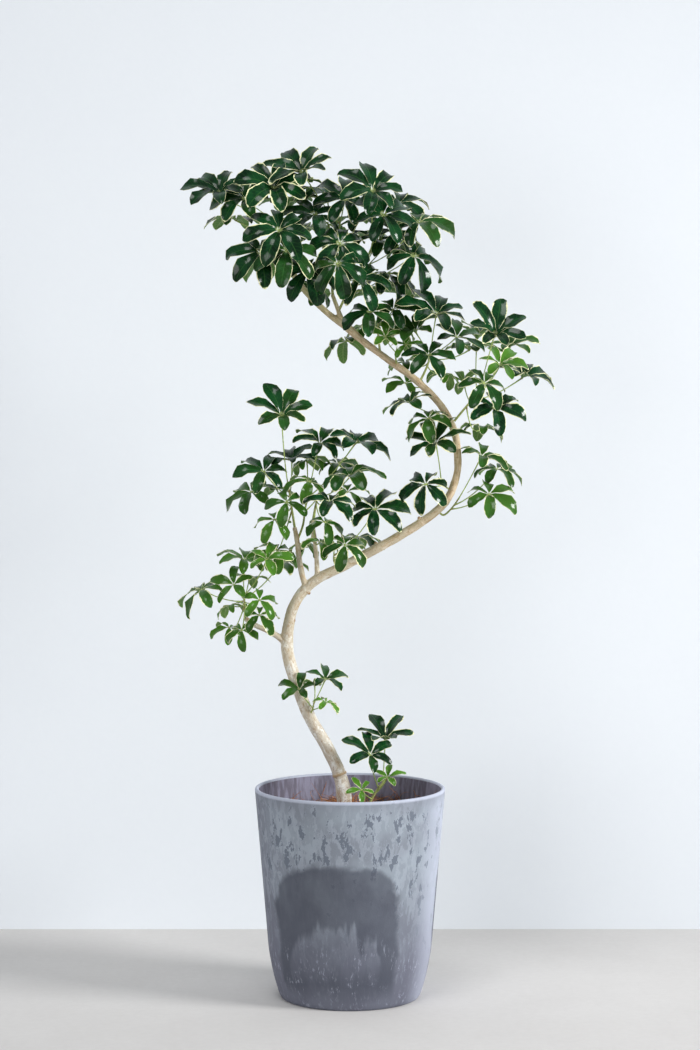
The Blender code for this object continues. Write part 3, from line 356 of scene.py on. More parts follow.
class Value:
    """A socket's value in shader arithmetic: an expression on values adds its Math nodes."""

    def __init__(self, paint: "Paint", socket: bpy.types.NodeSocket) -> None:
        """Hold the socket and the material that it belongs to."""
        self.paint = paint
        self.socket = socket

    def __add__(self, other: "Value | float") -> "Value":
        """Return the sum."""
        return self.paint.math("ADD", self, other)

    def __sub__(self, other: "Value | float") -> "Value":
        """Return the difference."""
        return self.paint.math("SUBTRACT", self, other)

    def __rsub__(self, other: float) -> "Value":
        """Return a number less this value."""
        return self.paint.math("SUBTRACT", other, self)

    def __mul__(self, other: "Value | float") -> "Value":
        """Return the product."""
        return self.paint.math("MULTIPLY", self, other)

    def __neg__(self) -> "Value":
        """Return the value with its sign turned."""
        return self.paint.math("MULTIPLY", self, -1.0)

    def __abs__(self) -> "Value":
        """Return the size without its sign."""
        return self.paint.math("ABSOLUTE", self)

    __radd__ = __add__


class Paint:
    """A material and the nodes that give it its looks."""

    def __init__(self, name: str, constants: dict[str, float]) -> None:
        """Start a material with the given numbers on its shader's own sockets."""
        self.material = bpy.data.materials.new(name)
        self.material.use_nodes = True
        self.tree = self.material.node_tree
        self.shader = self.tree.nodes["Principled BSDF"]
        for socket, value in constants.items():
            self.shader.inputs[socket].default_value = value

    def node(self, kind: str, settings: dict, sockets: dict, output: int | str = 0) -> Value:
        """Add a node.

        Args:
            kind: The node's type.
            settings: What is set on the node first, such as its operation.
            sockets: Values or numbers by the socket's name or place.
            output: The output to return.

        Returns:
            The node's output.
        """
        made = self.tree.nodes.new(kind)
        for name, value in settings.items():
            setattr(made, name, value)
        for key, value in sockets.items():
            self.feed(made.inputs[key], value)
        return Value(self, made.outputs[output])

    def feed(self, socket: bpy.types.NodeSocket, value: "Value | float | tuple") -> None:
        """Link a value to a socket, or set a plain number or colour on it."""
        if isinstance(value, Value):
            self.tree.links.new(value.socket, socket)
        else:
            socket.default_value = value

    def math(self, operation: str, first: "Value | float", second: "Value | float" = 0.0) -> Value:
        """Return the result of a Math node."""
        return self.node("ShaderNodeMath", {"operation": operation}, {0: first, 1: second})

    def place(self) -> Value:
        """Return the surface point in the object's own coordinates."""
        return self.node("ShaderNodeTexCoord", {}, {}, "Object")

    def attribute(self, name: str) -> Value:
        """Return a piece's own vector attribute."""
        return self.node("ShaderNodeAttribute", {"attribute_name": name}, {}, "Vector")

    def split(self, vector: Value) -> tuple[Value, Value, Value]:
        """Return a vector's three parts."""
        first = self.node("ShaderNodeSeparateXYZ", {}, {0: vector})
        outputs = first.socket.node.outputs
        return first, Value(self, outputs[1]), Value(self, outputs[2])

    def joined(self, x: "Value | float", y: "Value | float", z: "Value | float") -> Value:
        """Return a vector of three values."""
        return self.node("ShaderNodeCombineXYZ", {}, {0: x, 1: y, 2: z})

    def stretched(self, vector: Value, scale: tuple[float, float, float]) -> Value:
        """Return a vector scaled by each axis."""
        return self.node("ShaderNodeVectorMath", {"operation": "MULTIPLY"}, {0: vector, 1: scale})

    def dot(self, vector: Value, direction: Vector) -> Value:
        """Return how far a vector reaches along a direction."""
        settings = {"operation": "DOT_PRODUCT"}
        return self.node("ShaderNodeVectorMath", settings, {0: vector, 1: direction}, "Value")

    def noise(self, vector: Value, grain: Grain) -> Value:
        """Return a cloudy noise of 0 to 1 at a point."""
        if grain.squash:
            vector = self.stretched(vector, grain.squash)
        sockets = {"Vector": vector, "Scale": grain.scale, "Detail": grain.detail,
                   "Roughness": grain.roughness, "Distortion": grain.distortion}
        return self.node("ShaderNodeTexNoise", {}, sockets)

    def cells(self, vector: Value, scale: float) -> Value:
        """Return the distance to the nearest of scattered points."""
        return self.node("ShaderNodeTexVoronoi", {}, {"Vector": vector, "Scale": scale})

    def between(self, value: Value, low: "Value | float", high: "Value | float") -> Value:
        """Return a smooth rise from 0 at low to 1 at high."""
        settings = {"interpolation_type": "SMOOTHSTEP"}
        return self.node("ShaderNodeMapRange", settings, {0: value, 1: low, 2: high})

    def band(self, value: Value, rise: tuple, fall: tuple) -> Value:
        """Return 1 between a rise and a fall, each given by its two ends, and 0 beyond them."""
        return self.between(value, *rise) * (1.0 - self.between(value, *fall))

    def blend(self, share: "Value | float", first: "Value | tuple", second: "Value | tuple") -> Value:
        """Return the first colour mixed towards the second."""
        settings = {"data_type": "RGBA"}
        return self.node("ShaderNodeMix", settings, {0: share, 6: first, 7: second}, 2)

    def dress(self, colour: Value, roughness: "Value | float", height: Value,
              depth: float) -> bpy.types.Material:
        """Feed the surface.

        Args:
            colour: The base colour.
            roughness: The roughness.
            height: The relief, 0 to 1.
            depth: The relief's depth in metres.

        Returns:
            The finished material.
        """
        self.feed(self.shader.inputs["Base Color"], colour)
        self.feed(self.shader.inputs["Roughness"], roughness)
        bump = self.node("ShaderNodeBump", {}, {"Strength": 1.0, "Distance": depth, "Height": height})
        self.feed(self.shader.inputs["Normal"], bump)
        return self.material


@dataclass(frozen=True)
class MottledGlaze:
    """The planter's outside: matte grey with fine streaks, crisp flecks and broad dark arches, with a
    painted light on its right flank and a painted shade on its left.
    """

    light: tuple = display(142, 151, 161)
    middle: tuple = display(116, 120, 131)
    frost: tuple = display(164, 172, 184)
    fleck: tuple = display(99, 107, 120)
    dark: tuple = display(76, 80, 92)
    # Pale bluish white of the rim and the scratches, also the painted light on the right flank
    pale: tuple = display(208, 213, 232)
    # Dark colour of the planter's foot, also the painted shade on the left flank
    base_and_painted_shade: tuple = display(98, 99, 115)
    arches: tuple = (
        (-0.20, 0.79, 0.292, 0.030),
        (2.05, 0.66, 0.318, 0.060),
        (-2.25, 0.52, 0.270, 0.040),
    )
    openings: tuple = (
        (-0.20, 0.57, 0.168, 0.076),
        (2.10, 0.36, 0.190, 0.080),
        (-2.22, 0.26, 0.148, 0.060),
    )
    lower_heights: tuple = (0.06, 0.28)
    belt_foot: tuple = (0.255, 0.300)
    belt_top: tuple = (0.372, 0.400)
    bloom_heights: tuple = (0.08, 0.17)
    collar_heights: tuple = (0.382, 0.412)
    rim_heights: tuple = (0.4125, 0.4165)
    # Angles of the painted light on the right flank and of the painted shade on the left flank
    painted_light_turns: tuple = (0.75, 1.25)
    shade_turns: tuple = (0.70, 1.30)
    back_turns: tuple = (2.0, 2.6)
    turn_warp: tuple = (0.28, 0.10)
    height_warp: tuple = (0.034, 0.022)
    flame_reach: tuple = (0.14, 0.110)
    shoulder: float = 0.062
    arch_softness: float = 0.010
    opening_softness: float = 0.011
    opening_share: float = 0.64
    clouds: Grain = Grain(13.0, 3.0, 0.55)
    streaks: Grain = Grain(150.0, 3.0, 0.6, squash=(1.0, 1.0, 0.14))
    patches: Grain = Grain(52.0, 4.0, 0.68, 0.25, (1.0, 1.0, 0.50))
    ripple: Grain = Grain(30.0, 3.0)
    flames: Grain = Grain(42.0, 3.0, 0.6, squash=(1.0, 1.0, 0.10))
    flakes: Grain = Grain(70.0, 4.0, 0.62, 0.35, (1.0, 1.0, 0.42))
    scratches: Grain = Grain(190.0, 4.0, 0.7, 0.3, (1.0, 1.0, 0.30))
    grit: Grain = Grain(420.0)

    def arch(self, paint: Paint, turn: Value, height: Value, shape: tuple, soft: float) -> Value:
        """Return a soft-edged patch of the wall with rounded shoulders.

        Args:
            paint: The material.
            turn: The angle round the planter from its front.
            height: The height.
            shape: The patch's middle angle, half width, top and bottom.
            soft: How soft its edges are, in metres.

        Returns:
            1 inside the patch and 0 outside.
        """
        middle, half, top, bottom = shape
        away = abs(turn - middle) * (1.0 / half)
        shoulder = height + paint.math("POWER", away, 3.0) * self.shoulder
        side = soft * 6 / half
        inside = 1.0 - paint.between(away, 1.0 - side, 1.0 + side)
        inside = inside * (1.0 - paint.between(shoulder, top - soft, top + soft))
        return inside * paint.between(height, bottom - soft * 3, bottom + soft * 3)

    def warped(self, value: Value, clouds: Value, ripple: Value, reach: tuple[float, float]) -> Value:
        """Return a turn or height that the clouds and the ripple push about, each by its own reach."""
        return value + (clouds - 0.5) * reach[0] + (ripple - 0.5) * reach[1]

    def stains(self, paint: Paint, turn: Value, height: Value, clouds: Value, ripple: Value) -> Value:
        """Return the dark arches with their lighter, flame-edged openings.

        Args:
            paint: The material.
            turn: The angle round the planter from its front.
            height: The height.
            clouds: The broad noise.
            ripple: The finer noise.

        Returns:
            1 where the wall is stained and 0 elsewhere.
        """
        flames = paint.noise(paint.place(), self.flames)
        turn = self.warped(turn, clouds, ripple, self.turn_warp)
        height = self.warped(height, clouds, ripple, self.height_warp)
        flamed_turn = turn + (flames - 0.5) * self.flame_reach[0]
        flamed_height = height + (flames - 0.5) * self.flame_reach[1]
        stained = None
        for arch, opening in zip(self.arches, self.openings):
            dark = self.arch(paint, turn, height, arch, self.arch_softness)
            clear = self.arch(paint, flamed_turn, flamed_height, opening, self.opening_softness)
            patch = dark * (1.0 - clear * self.opening_share)
            stained = patch if stained is None else paint.math("MAXIMUM", stained, patch)
        return stained

    def build(self) -> bpy.types.Material:
        """Return the material."""
        paint = Paint("planter_glaze", {"Specular IOR Level": 0.35})
        place = paint.place()
        x, y, z = paint.split(place)
        turn = paint.math("ARCTAN2", x, -y)
        clouds = paint.noise(place, self.clouds)
        streaks = paint.noise(place, self.streaks)
        patches = paint.noise(place, self.patches)
        ripple = paint.noise(place, self.ripple)
        arches = self.stains(paint, turn, z, clouds, ripple)
        lower = 1.0 - paint.between(z, *self.lower_heights)
        colour = paint.blend(paint.between(clouds, 0.40, 0.62) * 0.55, self.light, self.middle)
        colour = paint.blend(lower * 0.80, colour, self.base_and_painted_shade)
        # Painted shade: the left flank is darkened, standing in for the side away from the key light
        shade = paint.band(-turn, self.shade_turns, self.back_turns)
        colour = paint.blend(shade * 0.62, colour, self.base_and_painted_shade)
        # Painted light: the right flank is paled, standing in for the key light from the right
        painted_light_flank = paint.band(turn, self.painted_light_turns, self.back_turns)
        colour = paint.blend(painted_light_flank * (0.52 - lower * 0.12), colour, self.pale)
        colour = paint.blend(paint.between(streaks, 0.54, 0.74) * 0.30, colour, self.frost)
        frosted = paint.between(paint.noise(place, self.flakes), 0.50, 0.54) * (1.0 - lower)
        colour = paint.blend(frosted * 0.42, colour, self.frost)
        belt = paint.band(z, self.belt_foot, self.belt_top)
        needed = 0.612 - belt * 0.045
        rim_of_fleck = paint.between(patches, needed - 0.040, needed - 0.008) * (1.0 - lower)
        colour = paint.blend(rim_of_fleck * 0.45, colour, self.frost)
        flecks = paint.between(patches, needed - 0.008, needed + 0.006) * (1.0 - lower * 0.85)
        # The flecks are painted fainter where the painted light falls
        flecks = flecks * (1.0 - painted_light_flank * 0.45)
        colour = paint.blend(flecks * 0.90, colour, self.fleck)
        colour = paint.blend(arches * (0.86 + (clouds - 0.5) * 0.4), colour, self.dark)
        scratches = paint.noise(place, self.scratches)
        bloom = paint.between(ripple, 0.46, 0.62) * (1.0 - paint.between(z, *self.bloom_heights))
        colour = paint.blend(paint.between(scratches, 0.54, 0.68) * bloom * 0.42, colour, self.pale)
        warped_height = self.warped(z, clouds, ripple, self.height_warp)
        collar = paint.between(warped_height, *self.collar_heights) * 0.42
        colour = paint.blend(collar, colour, self.middle)
        colour = paint.blend(paint.between(z, *self.rim_heights) * 0.5, colour, self.pale)
        grit = paint.noise(place, self.grit)
        roughness = 0.52 + clouds * 0.10 + grit * 0.08 + flecks * 0.06
        return paint.dress(colour, roughness, grit * 0.5 + patches * 0.5, 0.0005)


@dataclass(frozen=True)
class InnerGlaze:
    """The planter's inside: a darker purple-grey with streaks that run down."""

    light: tuple = display(134, 132, 151)
    dark: tuple = display(104, 100, 114)
    streaks: Grain = Grain(90.0, 4.0, 0.6, squash=(1.0, 1.0, 0.15))
    grit: Grain = Grain(420.0)

    def build(self) -> bpy.types.Material:
        """Return the material."""
        paint = Paint("planter_inside", {"Specular IOR Level": 0.3})
        place = paint.place()
        streaks = paint.noise(place, self.streaks)
        colour = paint.blend(paint.between(streaks, 0.40, 0.62), self.light, self.dark)
        grit = paint.noise(place, self.grit)
        return paint.dress(colour, 0.66 + grit * 0.1, grit + streaks, 0.0004)


@dataclass(frozen=True)
class PottingSoil:
    """Dark crumbly potting soil."""

    dark: tuple = display(52, 42, 34)
    light: tuple = display(96, 78, 60)
    crumb_scale: float = 220.0
    clods: Grain = Grain(60.0, 5.0, 0.65)

    def build(self) -> bpy.types.Material:
        """Return the material."""
        paint = Paint("potting_soil", {"Specular IOR Level": 0.2})
        place = paint.place()
        crumbs = paint.cells(place, self.crumb_scale)
        clods = paint.noise(place, self.clods)
        colour = paint.blend(paint.between(clods, 0.42, 0.68), self.dark, self.light)
        return paint.dress(colour, 0.88 + clods * 0.1, crumbs + clods, 0.0025)


@dataclass(frozen=True)
class FibreBrown:
    """Coconut fibre: orange-brown strands that differ in shade, with the bed below a tone darker."""

    name: str
    dark: tuple
    middle: tuple
    light: tuple
    threads: Grain = Grain(320.0, 3.0, 0.6, 1.5, (0.5, 2.2, 1.0))
    crossed: Grain = Grain(280.0, 3.0, 0.6, 1.5, (2.2, 0.5, 1.0))

    def build(self) -> bpy.types.Material:
        """Return the material."""
        paint = Paint(self.name, {"Specular IOR Level": 0.25})
        place = paint.place()
        strand = paint.split(paint.attribute("mark"))[0]
        threads = paint.noise(place, self.threads)
        crossed = paint.noise(place, self.crossed)
        colour = paint.blend(paint.between(threads, 0.38, 0.62), self.dark, self.middle)
        colour = paint.blend(paint.between(crossed, 0.50, 0.66), colour, self.light)
        colour = paint.blend(paint.between(strand, 0.55, 1.0) * 0.8, colour, self.light)
        colour = paint.blend((1.0 - paint.between(strand, 0.02, 0.35)) * 0.7, colour, self.dark)
        return paint.dress(colour, 0.72 + threads * 0.2, threads + crossed, 0.0012)


@dataclass(frozen=True)
class SmoothBark:
    """Bare umbrella-tree wood: beige bark with pale patches, ring scars and small corky pores."""

    scar: Vector
    ahead: Vector
    beige: tuple = display(206, 197, 181)
    pale: tuple = display(238, 237, 231)
    olive: tuple = display(192, 178, 142)
    warm: tuple = display(226, 198, 162)
    tan: tuple = display(180, 152, 114)
    brown: tuple = display(138, 100, 66)
    green: tuple = display(134, 144, 94)
    middle_heights: tuple = (0.50, 0.82)
    upper_heights: tuple = (0.80, 1.05)
    leader_heights: tuple = (1.30, 1.42)
    scar_edge: tuple = (0.0016, 0.0034)
    patches: Grain = Grain(70.0, 4.0, 0.6, 0.4, (1.0, 1.0, 0.55))
    streaks: Grain = Grain(330.0, 4.0, 0.65, squash=(1.0, 1.0, 0.16))
    rings: Grain = Grain(240.0, 3.0, 0.6, squash=(0.12, 0.12, 1.0))
    mottle: Grain = Grain(170.0, 4.0, 0.7, squash=(1.0, 1.0, 0.45))
    pore_squash: tuple = (0.55, 0.55, 1.0)
    pore_scale: float = 260.0

    def build(self) -> bpy.types.Material:
        """Return the material."""
        paint = Paint("smooth_bark", {"Specular IOR Level": 0.3})
        place = paint.place()
        grain = paint.attribute("grain")
        worn = paint.split(paint.attribute("worn"))[0]
        height = paint.split(place)[2]
        patches = paint.noise(grain, self.patches)
        streaks = paint.noise(grain, self.streaks)
        rings = paint.noise(grain, self.rings)
        pores = paint.cells(paint.stretched(grain, self.pore_squash), self.pore_scale)
        middle = paint.between(height, *self.middle_heights)
        upper = paint.between(height, *self.upper_heights)
        colour = paint.blend(paint.between(patches, 0.44 + middle * 0.06, 0.60), self.beige, self.pale)
        colour = paint.blend(middle * 0.40 + upper * 0.28, colour, self.olive)
        colour = paint.blend(upper * paint.between(patches, 0.38, 0.60) * 0.65, colour, self.warm)
        colour = paint.blend(paint.between(streaks, 0.50, 0.66) * (0.42 + middle * 0.20), colour, self.tan)
        mottle = paint.noise(grain, self.mottle)
        colour = paint.blend(paint.between(mottle, 0.51, 0.60) * 0.46, colour, self.tan)
        colour = paint.blend(paint.between(mottle, 0.60, 0.67) * 0.42, colour, self.brown)
        colour = paint.blend(upper * paint.between(streaks, 0.40, 0.66) * 0.50, colour, self.tan)
        colour = paint.blend(paint.between(rings, 0.62, 0.70) * 0.26, colour, self.brown)
        pore = 1.0 - paint.between(pores, 0.10, 0.24)
        colour = paint.blend(pore * 0.55, colour, self.brown)
        leader = paint.between(height, *self.leader_heights)
        colour = paint.blend(leader * paint.between(streaks, 0.36, 0.56) * 0.75, colour, self.green)
        from_scar = paint.dot(place, self.ahead) - self.scar.dot(self.ahead)
        ring = 1.0 - paint.between(abs(from_scar), *self.scar_edge)
        colour = paint.blend(ring * 0.85, colour, self.tan)
        colour = paint.blend(worn * 0.85, colour, self.brown)
        relief = patches * 0.25 + streaks * 0.40 + rings * 0.22 + pore * 0.5
        return paint.dress(colour, 0.62 + streaks * 0.2, relief, 0.0009)


@dataclass(frozen=True)
class LeafLines:
    """What both sides of a leaflet share: how its edge is torn and where its ribs and veins run."""

    rib_edge: tuple
    veins_a_side: float
    ragged: Grain = Grain(95.0, 3.0, 0.6)
    tip_slope: float = 3.2
    vein_slant: float = 0.14
    vein_edge: tuple = (0.03, 0.12)
    vein_end: tuple = (0.70, 0.95)
    margin_softness: float = 0.03


class LeafPattern:
    """A leaflet's attributes and lines as shader values."""

    def __init__(self, paint: Paint, lines: LeafLines) -> None:
        """Read the attributes and draw the edge, the midrib and the side veins."""
        self.paint = paint
        self.softness = lines.margin_softness
        self.across, self.share, _ = paint.split(paint.attribute("blade"))
        self.seed, self.cream, self.freshness = paint.split(paint.attribute("mark"))
        out = abs(self.across)
        self.edge = paint.math("MINIMUM", 1.0 - out, (1.0 - self.share) * lines.tip_slope)
        self.ragged = paint.noise(paint.place(), lines.ragged)
        self.rib = 1.0 - paint.between(out, *lines.rib_edge)
        step = paint.math("FRACT", (self.share - out * lines.vein_slant) * lines.veins_a_side + self.seed)
        vein = 1.0 - paint.between(abs(step - 0.5), *lines.vein_edge)
        self.vein = vein * (1.0 - paint.between(out, *lines.vein_end))

    def margin_zone(self, width: Value) -> Value:
        """Return 1 in a margin of a width and 0 inside it."""
        return 1.0 - self.paint.between(self.edge, width - self.softness, width + self.softness)


@dataclass(frozen=True)
class LeafUpper:
    """The glossy upper side: dark green with a mid-green zone, a ragged cream margin and pale veins."""

    dark: tuple = display(14, 60, 28)
    deep: tuple = display(3, 34, 14)
    fresh: tuple = display(88, 140, 42)
    middle: tuple = display(58, 106, 46)
    cream: tuple = display(234, 232, 184)
    petiolule: tuple = display(158, 172, 112)
    lines: LeafLines = LeafLines((0.02, 0.075), 11.25)
    streaky: Grain = Grain(2.4, 3.0, 0.6, 0.5, (1.6, 0.9, 40.0))
    wander: Grain = Grain(42.0)
    mottle: Grain = Grain(36.0, 3.0, 0.55)
    pores: Grain = Grain(900.0)

    def build(self) -> bpy.types.Material:
        """Return the material."""
        paint = Paint("leaf_upper", {"Coat Roughness": 0.13, "Specular IOR Level": 0.02})
        place = paint.place()
        leaf = LeafPattern(paint, self.lines)
        streaky = paint.noise(paint.joined(leaf.across, leaf.share, leaf.seed), self.streaky)
        wander = paint.noise(place, self.wander)
        margin = leaf.cream * (leaf.ragged * 0.7 + wander * 0.9 - 0.62)
        margin = margin + paint.between(streaky, 0.64, 0.72) * leaf.cream * 0.30
        cream_zone = leaf.margin_zone(margin)
        middle_zone = 1.0 - paint.between(leaf.edge, margin, margin * 1.6 + 0.06)
        mottle = paint.noise(place, self.mottle)
        colour = paint.blend(paint.between(mottle, 0.38, 0.62), self.deep, self.dark)
        colour = paint.blend(leaf.freshness, colour, self.fresh)
        colour = paint.blend(middle_zone * 0.55, colour, self.middle)
        colour = paint.blend(paint.math("MAXIMUM", leaf.rib * 0.42, leaf.vein * 0.16), colour, self.middle)
        colour = paint.blend(cream_zone, colour, self.cream)
        at_foot = 1.0 - paint.between(leaf.share, 0.07, 0.13)
        colour = paint.blend(at_foot * 0.8, colour, self.petiolule)
        pores = paint.noise(place, self.pores)
        height = 1.0 - leaf.rib * 0.55 - leaf.vein * 0.30 + pores * 0.06 + mottle * 0.5
        paint.feed(paint.shader.inputs["Coat Weight"], 0.50 - cream_zone * 0.22)
        return paint.dress(colour, 0.27 + leaf.ragged * 0.14 + cream_zone * 0.08, height, 0.0005)


@dataclass(frozen=True)
class LeafUnderside:
    """The matte underside: pale green with raised ribs."""

    green: tuple = display(92, 134, 66)
    fresh: tuple = display(124, 162, 82)
    cream: tuple = display(210, 210, 156)
    rib: tuple = display(156, 180, 112)
    lines: LeafLines = LeafLines((0.03, 0.09), 11.0)

    def build(self) -> bpy.types.Material:
        """Return the material."""
        paint = Paint("leaf_underside", {"Specular IOR Level": 0.35})
        leaf = LeafPattern(paint, self.lines)
        cream_zone = leaf.margin_zone(leaf.cream * (leaf.ragged - 0.36))
        colour = paint.blend(leaf.freshness * 0.6, self.green, self.fresh)
        colour = paint.blend(cream_zone, colour, self.cream)
        colour = paint.blend(paint.math("MAXIMUM", leaf.rib * 0.8, leaf.vein * 0.3), colour, self.rib)
        return paint.dress(colour, 0.52 + leaf.ragged * 0.12, leaf.rib + leaf.vein * 0.4, 0.0006)


@dataclass(frozen=True)
class GreenStalk:
    """Leaf stalks and young stems: yellow-green with brown joints at their ends."""

    green: tuple = display(176, 194, 112)
    shaded: tuple = display(136, 162, 84)
    brown: tuple = display(138, 98, 64)
    bark: tuple = display(152, 134, 96)
    streaks: Grain = Grain(130.0, 3.0, 0.6)

    def build(self) -> bpy.types.Material:
        """Return the material."""
        paint = Paint("green_stalk", {"Specular IOR Level": 0.4})
        woody, share, _ = paint.split(paint.attribute("blade"))
        streaks = paint.noise(paint.place(), self.streaks)
        colour = paint.blend(paint.between(streaks, 0.40, 0.64), self.green, self.shaded)
        foot = 1.0 - paint.between(share, 0.02, 0.10)
        joints = paint.math("MAXIMUM", foot, paint.between(share, 0.955, 0.985))
        colour = paint.blend(joints * 0.75, colour, self.brown)
        colour = paint.blend(woody * (0.55 + streaks * 0.3), colour, self.bark)
        return paint.dress(colour, 0.42 + streaks * 0.2, streaks, 0.0004)


@dataclass(frozen=True)
class StudioGround:
    """The studio's floor or wall: one pale colour with faint cloudiness and, on the wall, an even glow."""

    name: str
    colour: tuple
    shaded: tuple
    one_sided: bool
    glow: float = 0.0
    clouds: Grain = Grain(4.0, 5.0, 0.6)
    speckle: Grain = Grain(60.0, 4.0, 0.65)

    def build(self) -> bpy.types.Material:
        """Return the material, see-through from behind where it is one-sided."""
        paint = Paint(self.name, {"Specular IOR Level": 0.15, "Emission Strength": self.glow})
        place = paint.place()
        clouds = paint.noise(place, self.clouds)
        speckle = paint.noise(place, self.speckle)
        colour = paint.blend(clouds * 0.55 + speckle * 0.45, self.colour, self.shaded)
        paint.feed(paint.shader.inputs["Emission Color"], colour)
        material = paint.dress(colour, 0.85, speckle, 0.0002)
        if self.one_sided:
            surface = Value(paint, paint.shader.outputs[0])
            behind = paint.node("ShaderNodeNewGeometry", {}, {}, "Backfacing")
            clear = paint.node("ShaderNodeBsdfTransparent", {}, {})
            mixed = paint.node("ShaderNodeMixShader", {}, {0: behind, 1: surface, 2: clear})
            paint.feed(paint.tree.nodes["Material Output"].inputs["Surface"], mixed)
        return material


def sighted(x: float, depth: float, z: float) -> Vector:
    """Return the point in metres that a front view shows at x, z (cm), at a depth (cm)."""
    on_plane = Vector((x, 0.0, z + TABLE_FLOOR)) * CENTIMETRE
    return EYE + (on_plane - EYE) * (1.0 - depth * CENTIMETRE / EYE.y)


def smooth_path(points: Sequence[Vector], per_span: int) -> list[Vector]:
    """Return points on a smooth curve.

    Args:
        points: The points that the curve goes through.
        per_span: How many points each stretch gets.

    Returns:
        The curve's points.
    """
    ends = [points[0] * 2 - points[1], *points, points[-1] * 2 - points[-2]]
    path = []
    for a, b, c, d in zip(ends, ends[1:], ends[2:], ends[3:]):
        for step in range(per_span):
            t = step / per_span
            path.append(
                0.5 * (2 * b + (c - a) * t + (2 * a - 5 * b + 4 * c - d) * t**2
                       + (3 * b - a - 3 * c + d) * t**3)
            )
    path.append(points[-1].copy())
    return path


def along(path: Sequence[Vector], share: float) -> Vector:
    """Return the point at a share of a path's length."""
    lengths = [(end - start).length for start, end in zip(path, path[1:])]
    left = share * sum(lengths)
    for start, end, length in zip(path, path[1:], lengths):
        if left <= length:
            return start.lerp(end, left / length)
        left -= length
    return path[-1].copy()


def frames_along(points: Sequence[Vector]) -> list[Matrix]:
    """Return a frame at each point of a path, with +Z ahead and no twist from one to the next."""
    side = (points[1] - points[0]).orthogonal()
    frames = []
    for index, place in enumerate(points):
        ahead = (points[min(index + 1, len(points) - 1)] - points[max(index - 1, 0)]).normalized()
        side = (side - ahead * side.dot(ahead)).normalized()
        turn = Matrix((side, ahead.cross(side), ahead)).transposed().to_4x4()
        frames.append(Matrix.Translation(place) @ turn)
    return frames


def search_tree(places: Sequence[Vector]) -> KDTree:
    """Return a search tree that finds the place nearest to a point."""
    tree = KDTree(len(places))
    for index, place in enumerate(places):
        tree.insert(place, index)
    tree.balance()
    return tree


class Build:
    """A mesh in the making: small closed bodies are shaped one by one and joined in here."""

    LAYERS = ("blade", "mark")

    def __init__(self) -> None:
        """Start an empty mesh."""
        self.bm = self.body()

    @classmethod
    def body(cls) -> bmesh.types.BMesh:
        """Return an empty body with the vector attributes."""
        small = bmesh.new()
        for layer in cls.LAYERS:
            small.verts.layers.float_vector.new(layer)
        return small

    @classmethod
    def set_layers(cls, small: bmesh.types.BMesh, vertices: Sequence, *values: Vector) -> None:
        """Set the vector attributes of some of a body's corners, in the layers' order."""
        for name, value in zip(cls.LAYERS, values):
            layer = small.verts.layers.float_vector[name]
            for vertex in vertices:
                vertex[layer] = value

    def take(self, small: bmesh.types.BMesh, material_index: int | None = None) -> None:
        """Join a small body in, with its faces turned outwards, and free it."""
        bmesh.ops.recalc_face_normals(small, faces=small.faces)
        if material_index is not None:
            for face in small.faces:
                face.material_index = material_index
        passing = mesh_of("passing", small)
        self.bm.from_mesh(passing)
        bpy.data.meshes.remove(passing)

    def rod(self, points: Sequence[Vector], radii: Sequence[float], sides: int, mark: Vector,
            shares: tuple[float, float] = (0.0, 1.0), woody: float = 0.0, material_index: int = 0) -> None:
        """Add a round rod along points.

        Args:
            points: Its centre line.
            radii: Its radius at each point.
            sides: How many sides it has.
            mark: The mark attribute's value.
            shares: The share along it at its first and last point.
            woody: How woody it is, up to 1.
            material_index: Its material's place on the piece.
        """
        small = self.body()
        frames = frames_along(points)
        first = frames[0] @ Matrix.Scale(radii[0], 4)
        made = bmesh.ops.create_circle(small, cap_ends=True, segments=sides, radius=1.0, matrix=first)
        ring = made["verts"]
        edges = list(dict.fromkeys(edge for vertex in ring for edge in vertex.link_edges))
        rings = [ring]
        for index in range(1, len(points)):
            grown = bmesh.ops.extrude_edge_only(small, edges=edges)["geom"]
            ring = [item for item in grown if isinstance(item, bmesh.types.BMVert)]
            fresh = set(ring)
            edges = [item for item in grown
                     if isinstance(item, bmesh.types.BMEdge) and fresh.issuperset(item.verts)]
            swell = Matrix.Scale(radii[index] / radii[index - 1], 4)
            step = frames[index] @ swell @ frames[index - 1].inverted()
            bmesh.ops.transform(small, matrix=step, verts=ring)
            rings.append(ring)
        bmesh.ops.edgeloop_fill(small, edges=edges)
        for index, ring in enumerate(rings):
            share = shares[0] + (shares[1] - shares[0]) * index / (len(rings) - 1)
            self.set_layers(small, ring, Vector((woody, share, 1.0)), mark)
        self.take(small, material_index)

    def knob(self, place: Vector, axis: Vector, radius: float, height: float, mark: Vector,
             woody: float, material_index: int) -> None:
        """Add a small rounded knob that stands on an axis."""
        small = self.body()
        turn = axis.to_track_quat("Z", "Y").to_matrix().to_4x4()
        size = Matrix.Diagonal((radius, radius, height, 1.0))
        matrix = Matrix.Translation(place) @ turn @ size
        made = bmesh.ops.create_uvsphere(small, u_segments=8, v_segments=5, radius=1.0, matrix=matrix)
        self.set_layers(small, made["verts"], Vector((woody, 0.5, 1.0)), mark)
        self.take(small, material_index)

    def piece(self, name: str, materials: Sequence[bpy.types.Material] = (),
              sharp_degrees: float = SHARP_DEGREES) -> bpy.types.Object:
        """Return the finished mesh as an object.

        Args:
            name: The piece's name.
            materials: Its materials in order.
            sharp_degrees: Edges over this angle stay sharp.

        Returns:
            The object.
        """
        return shown(name, mesh_of(name, self.bm, materials), sharp_degrees)


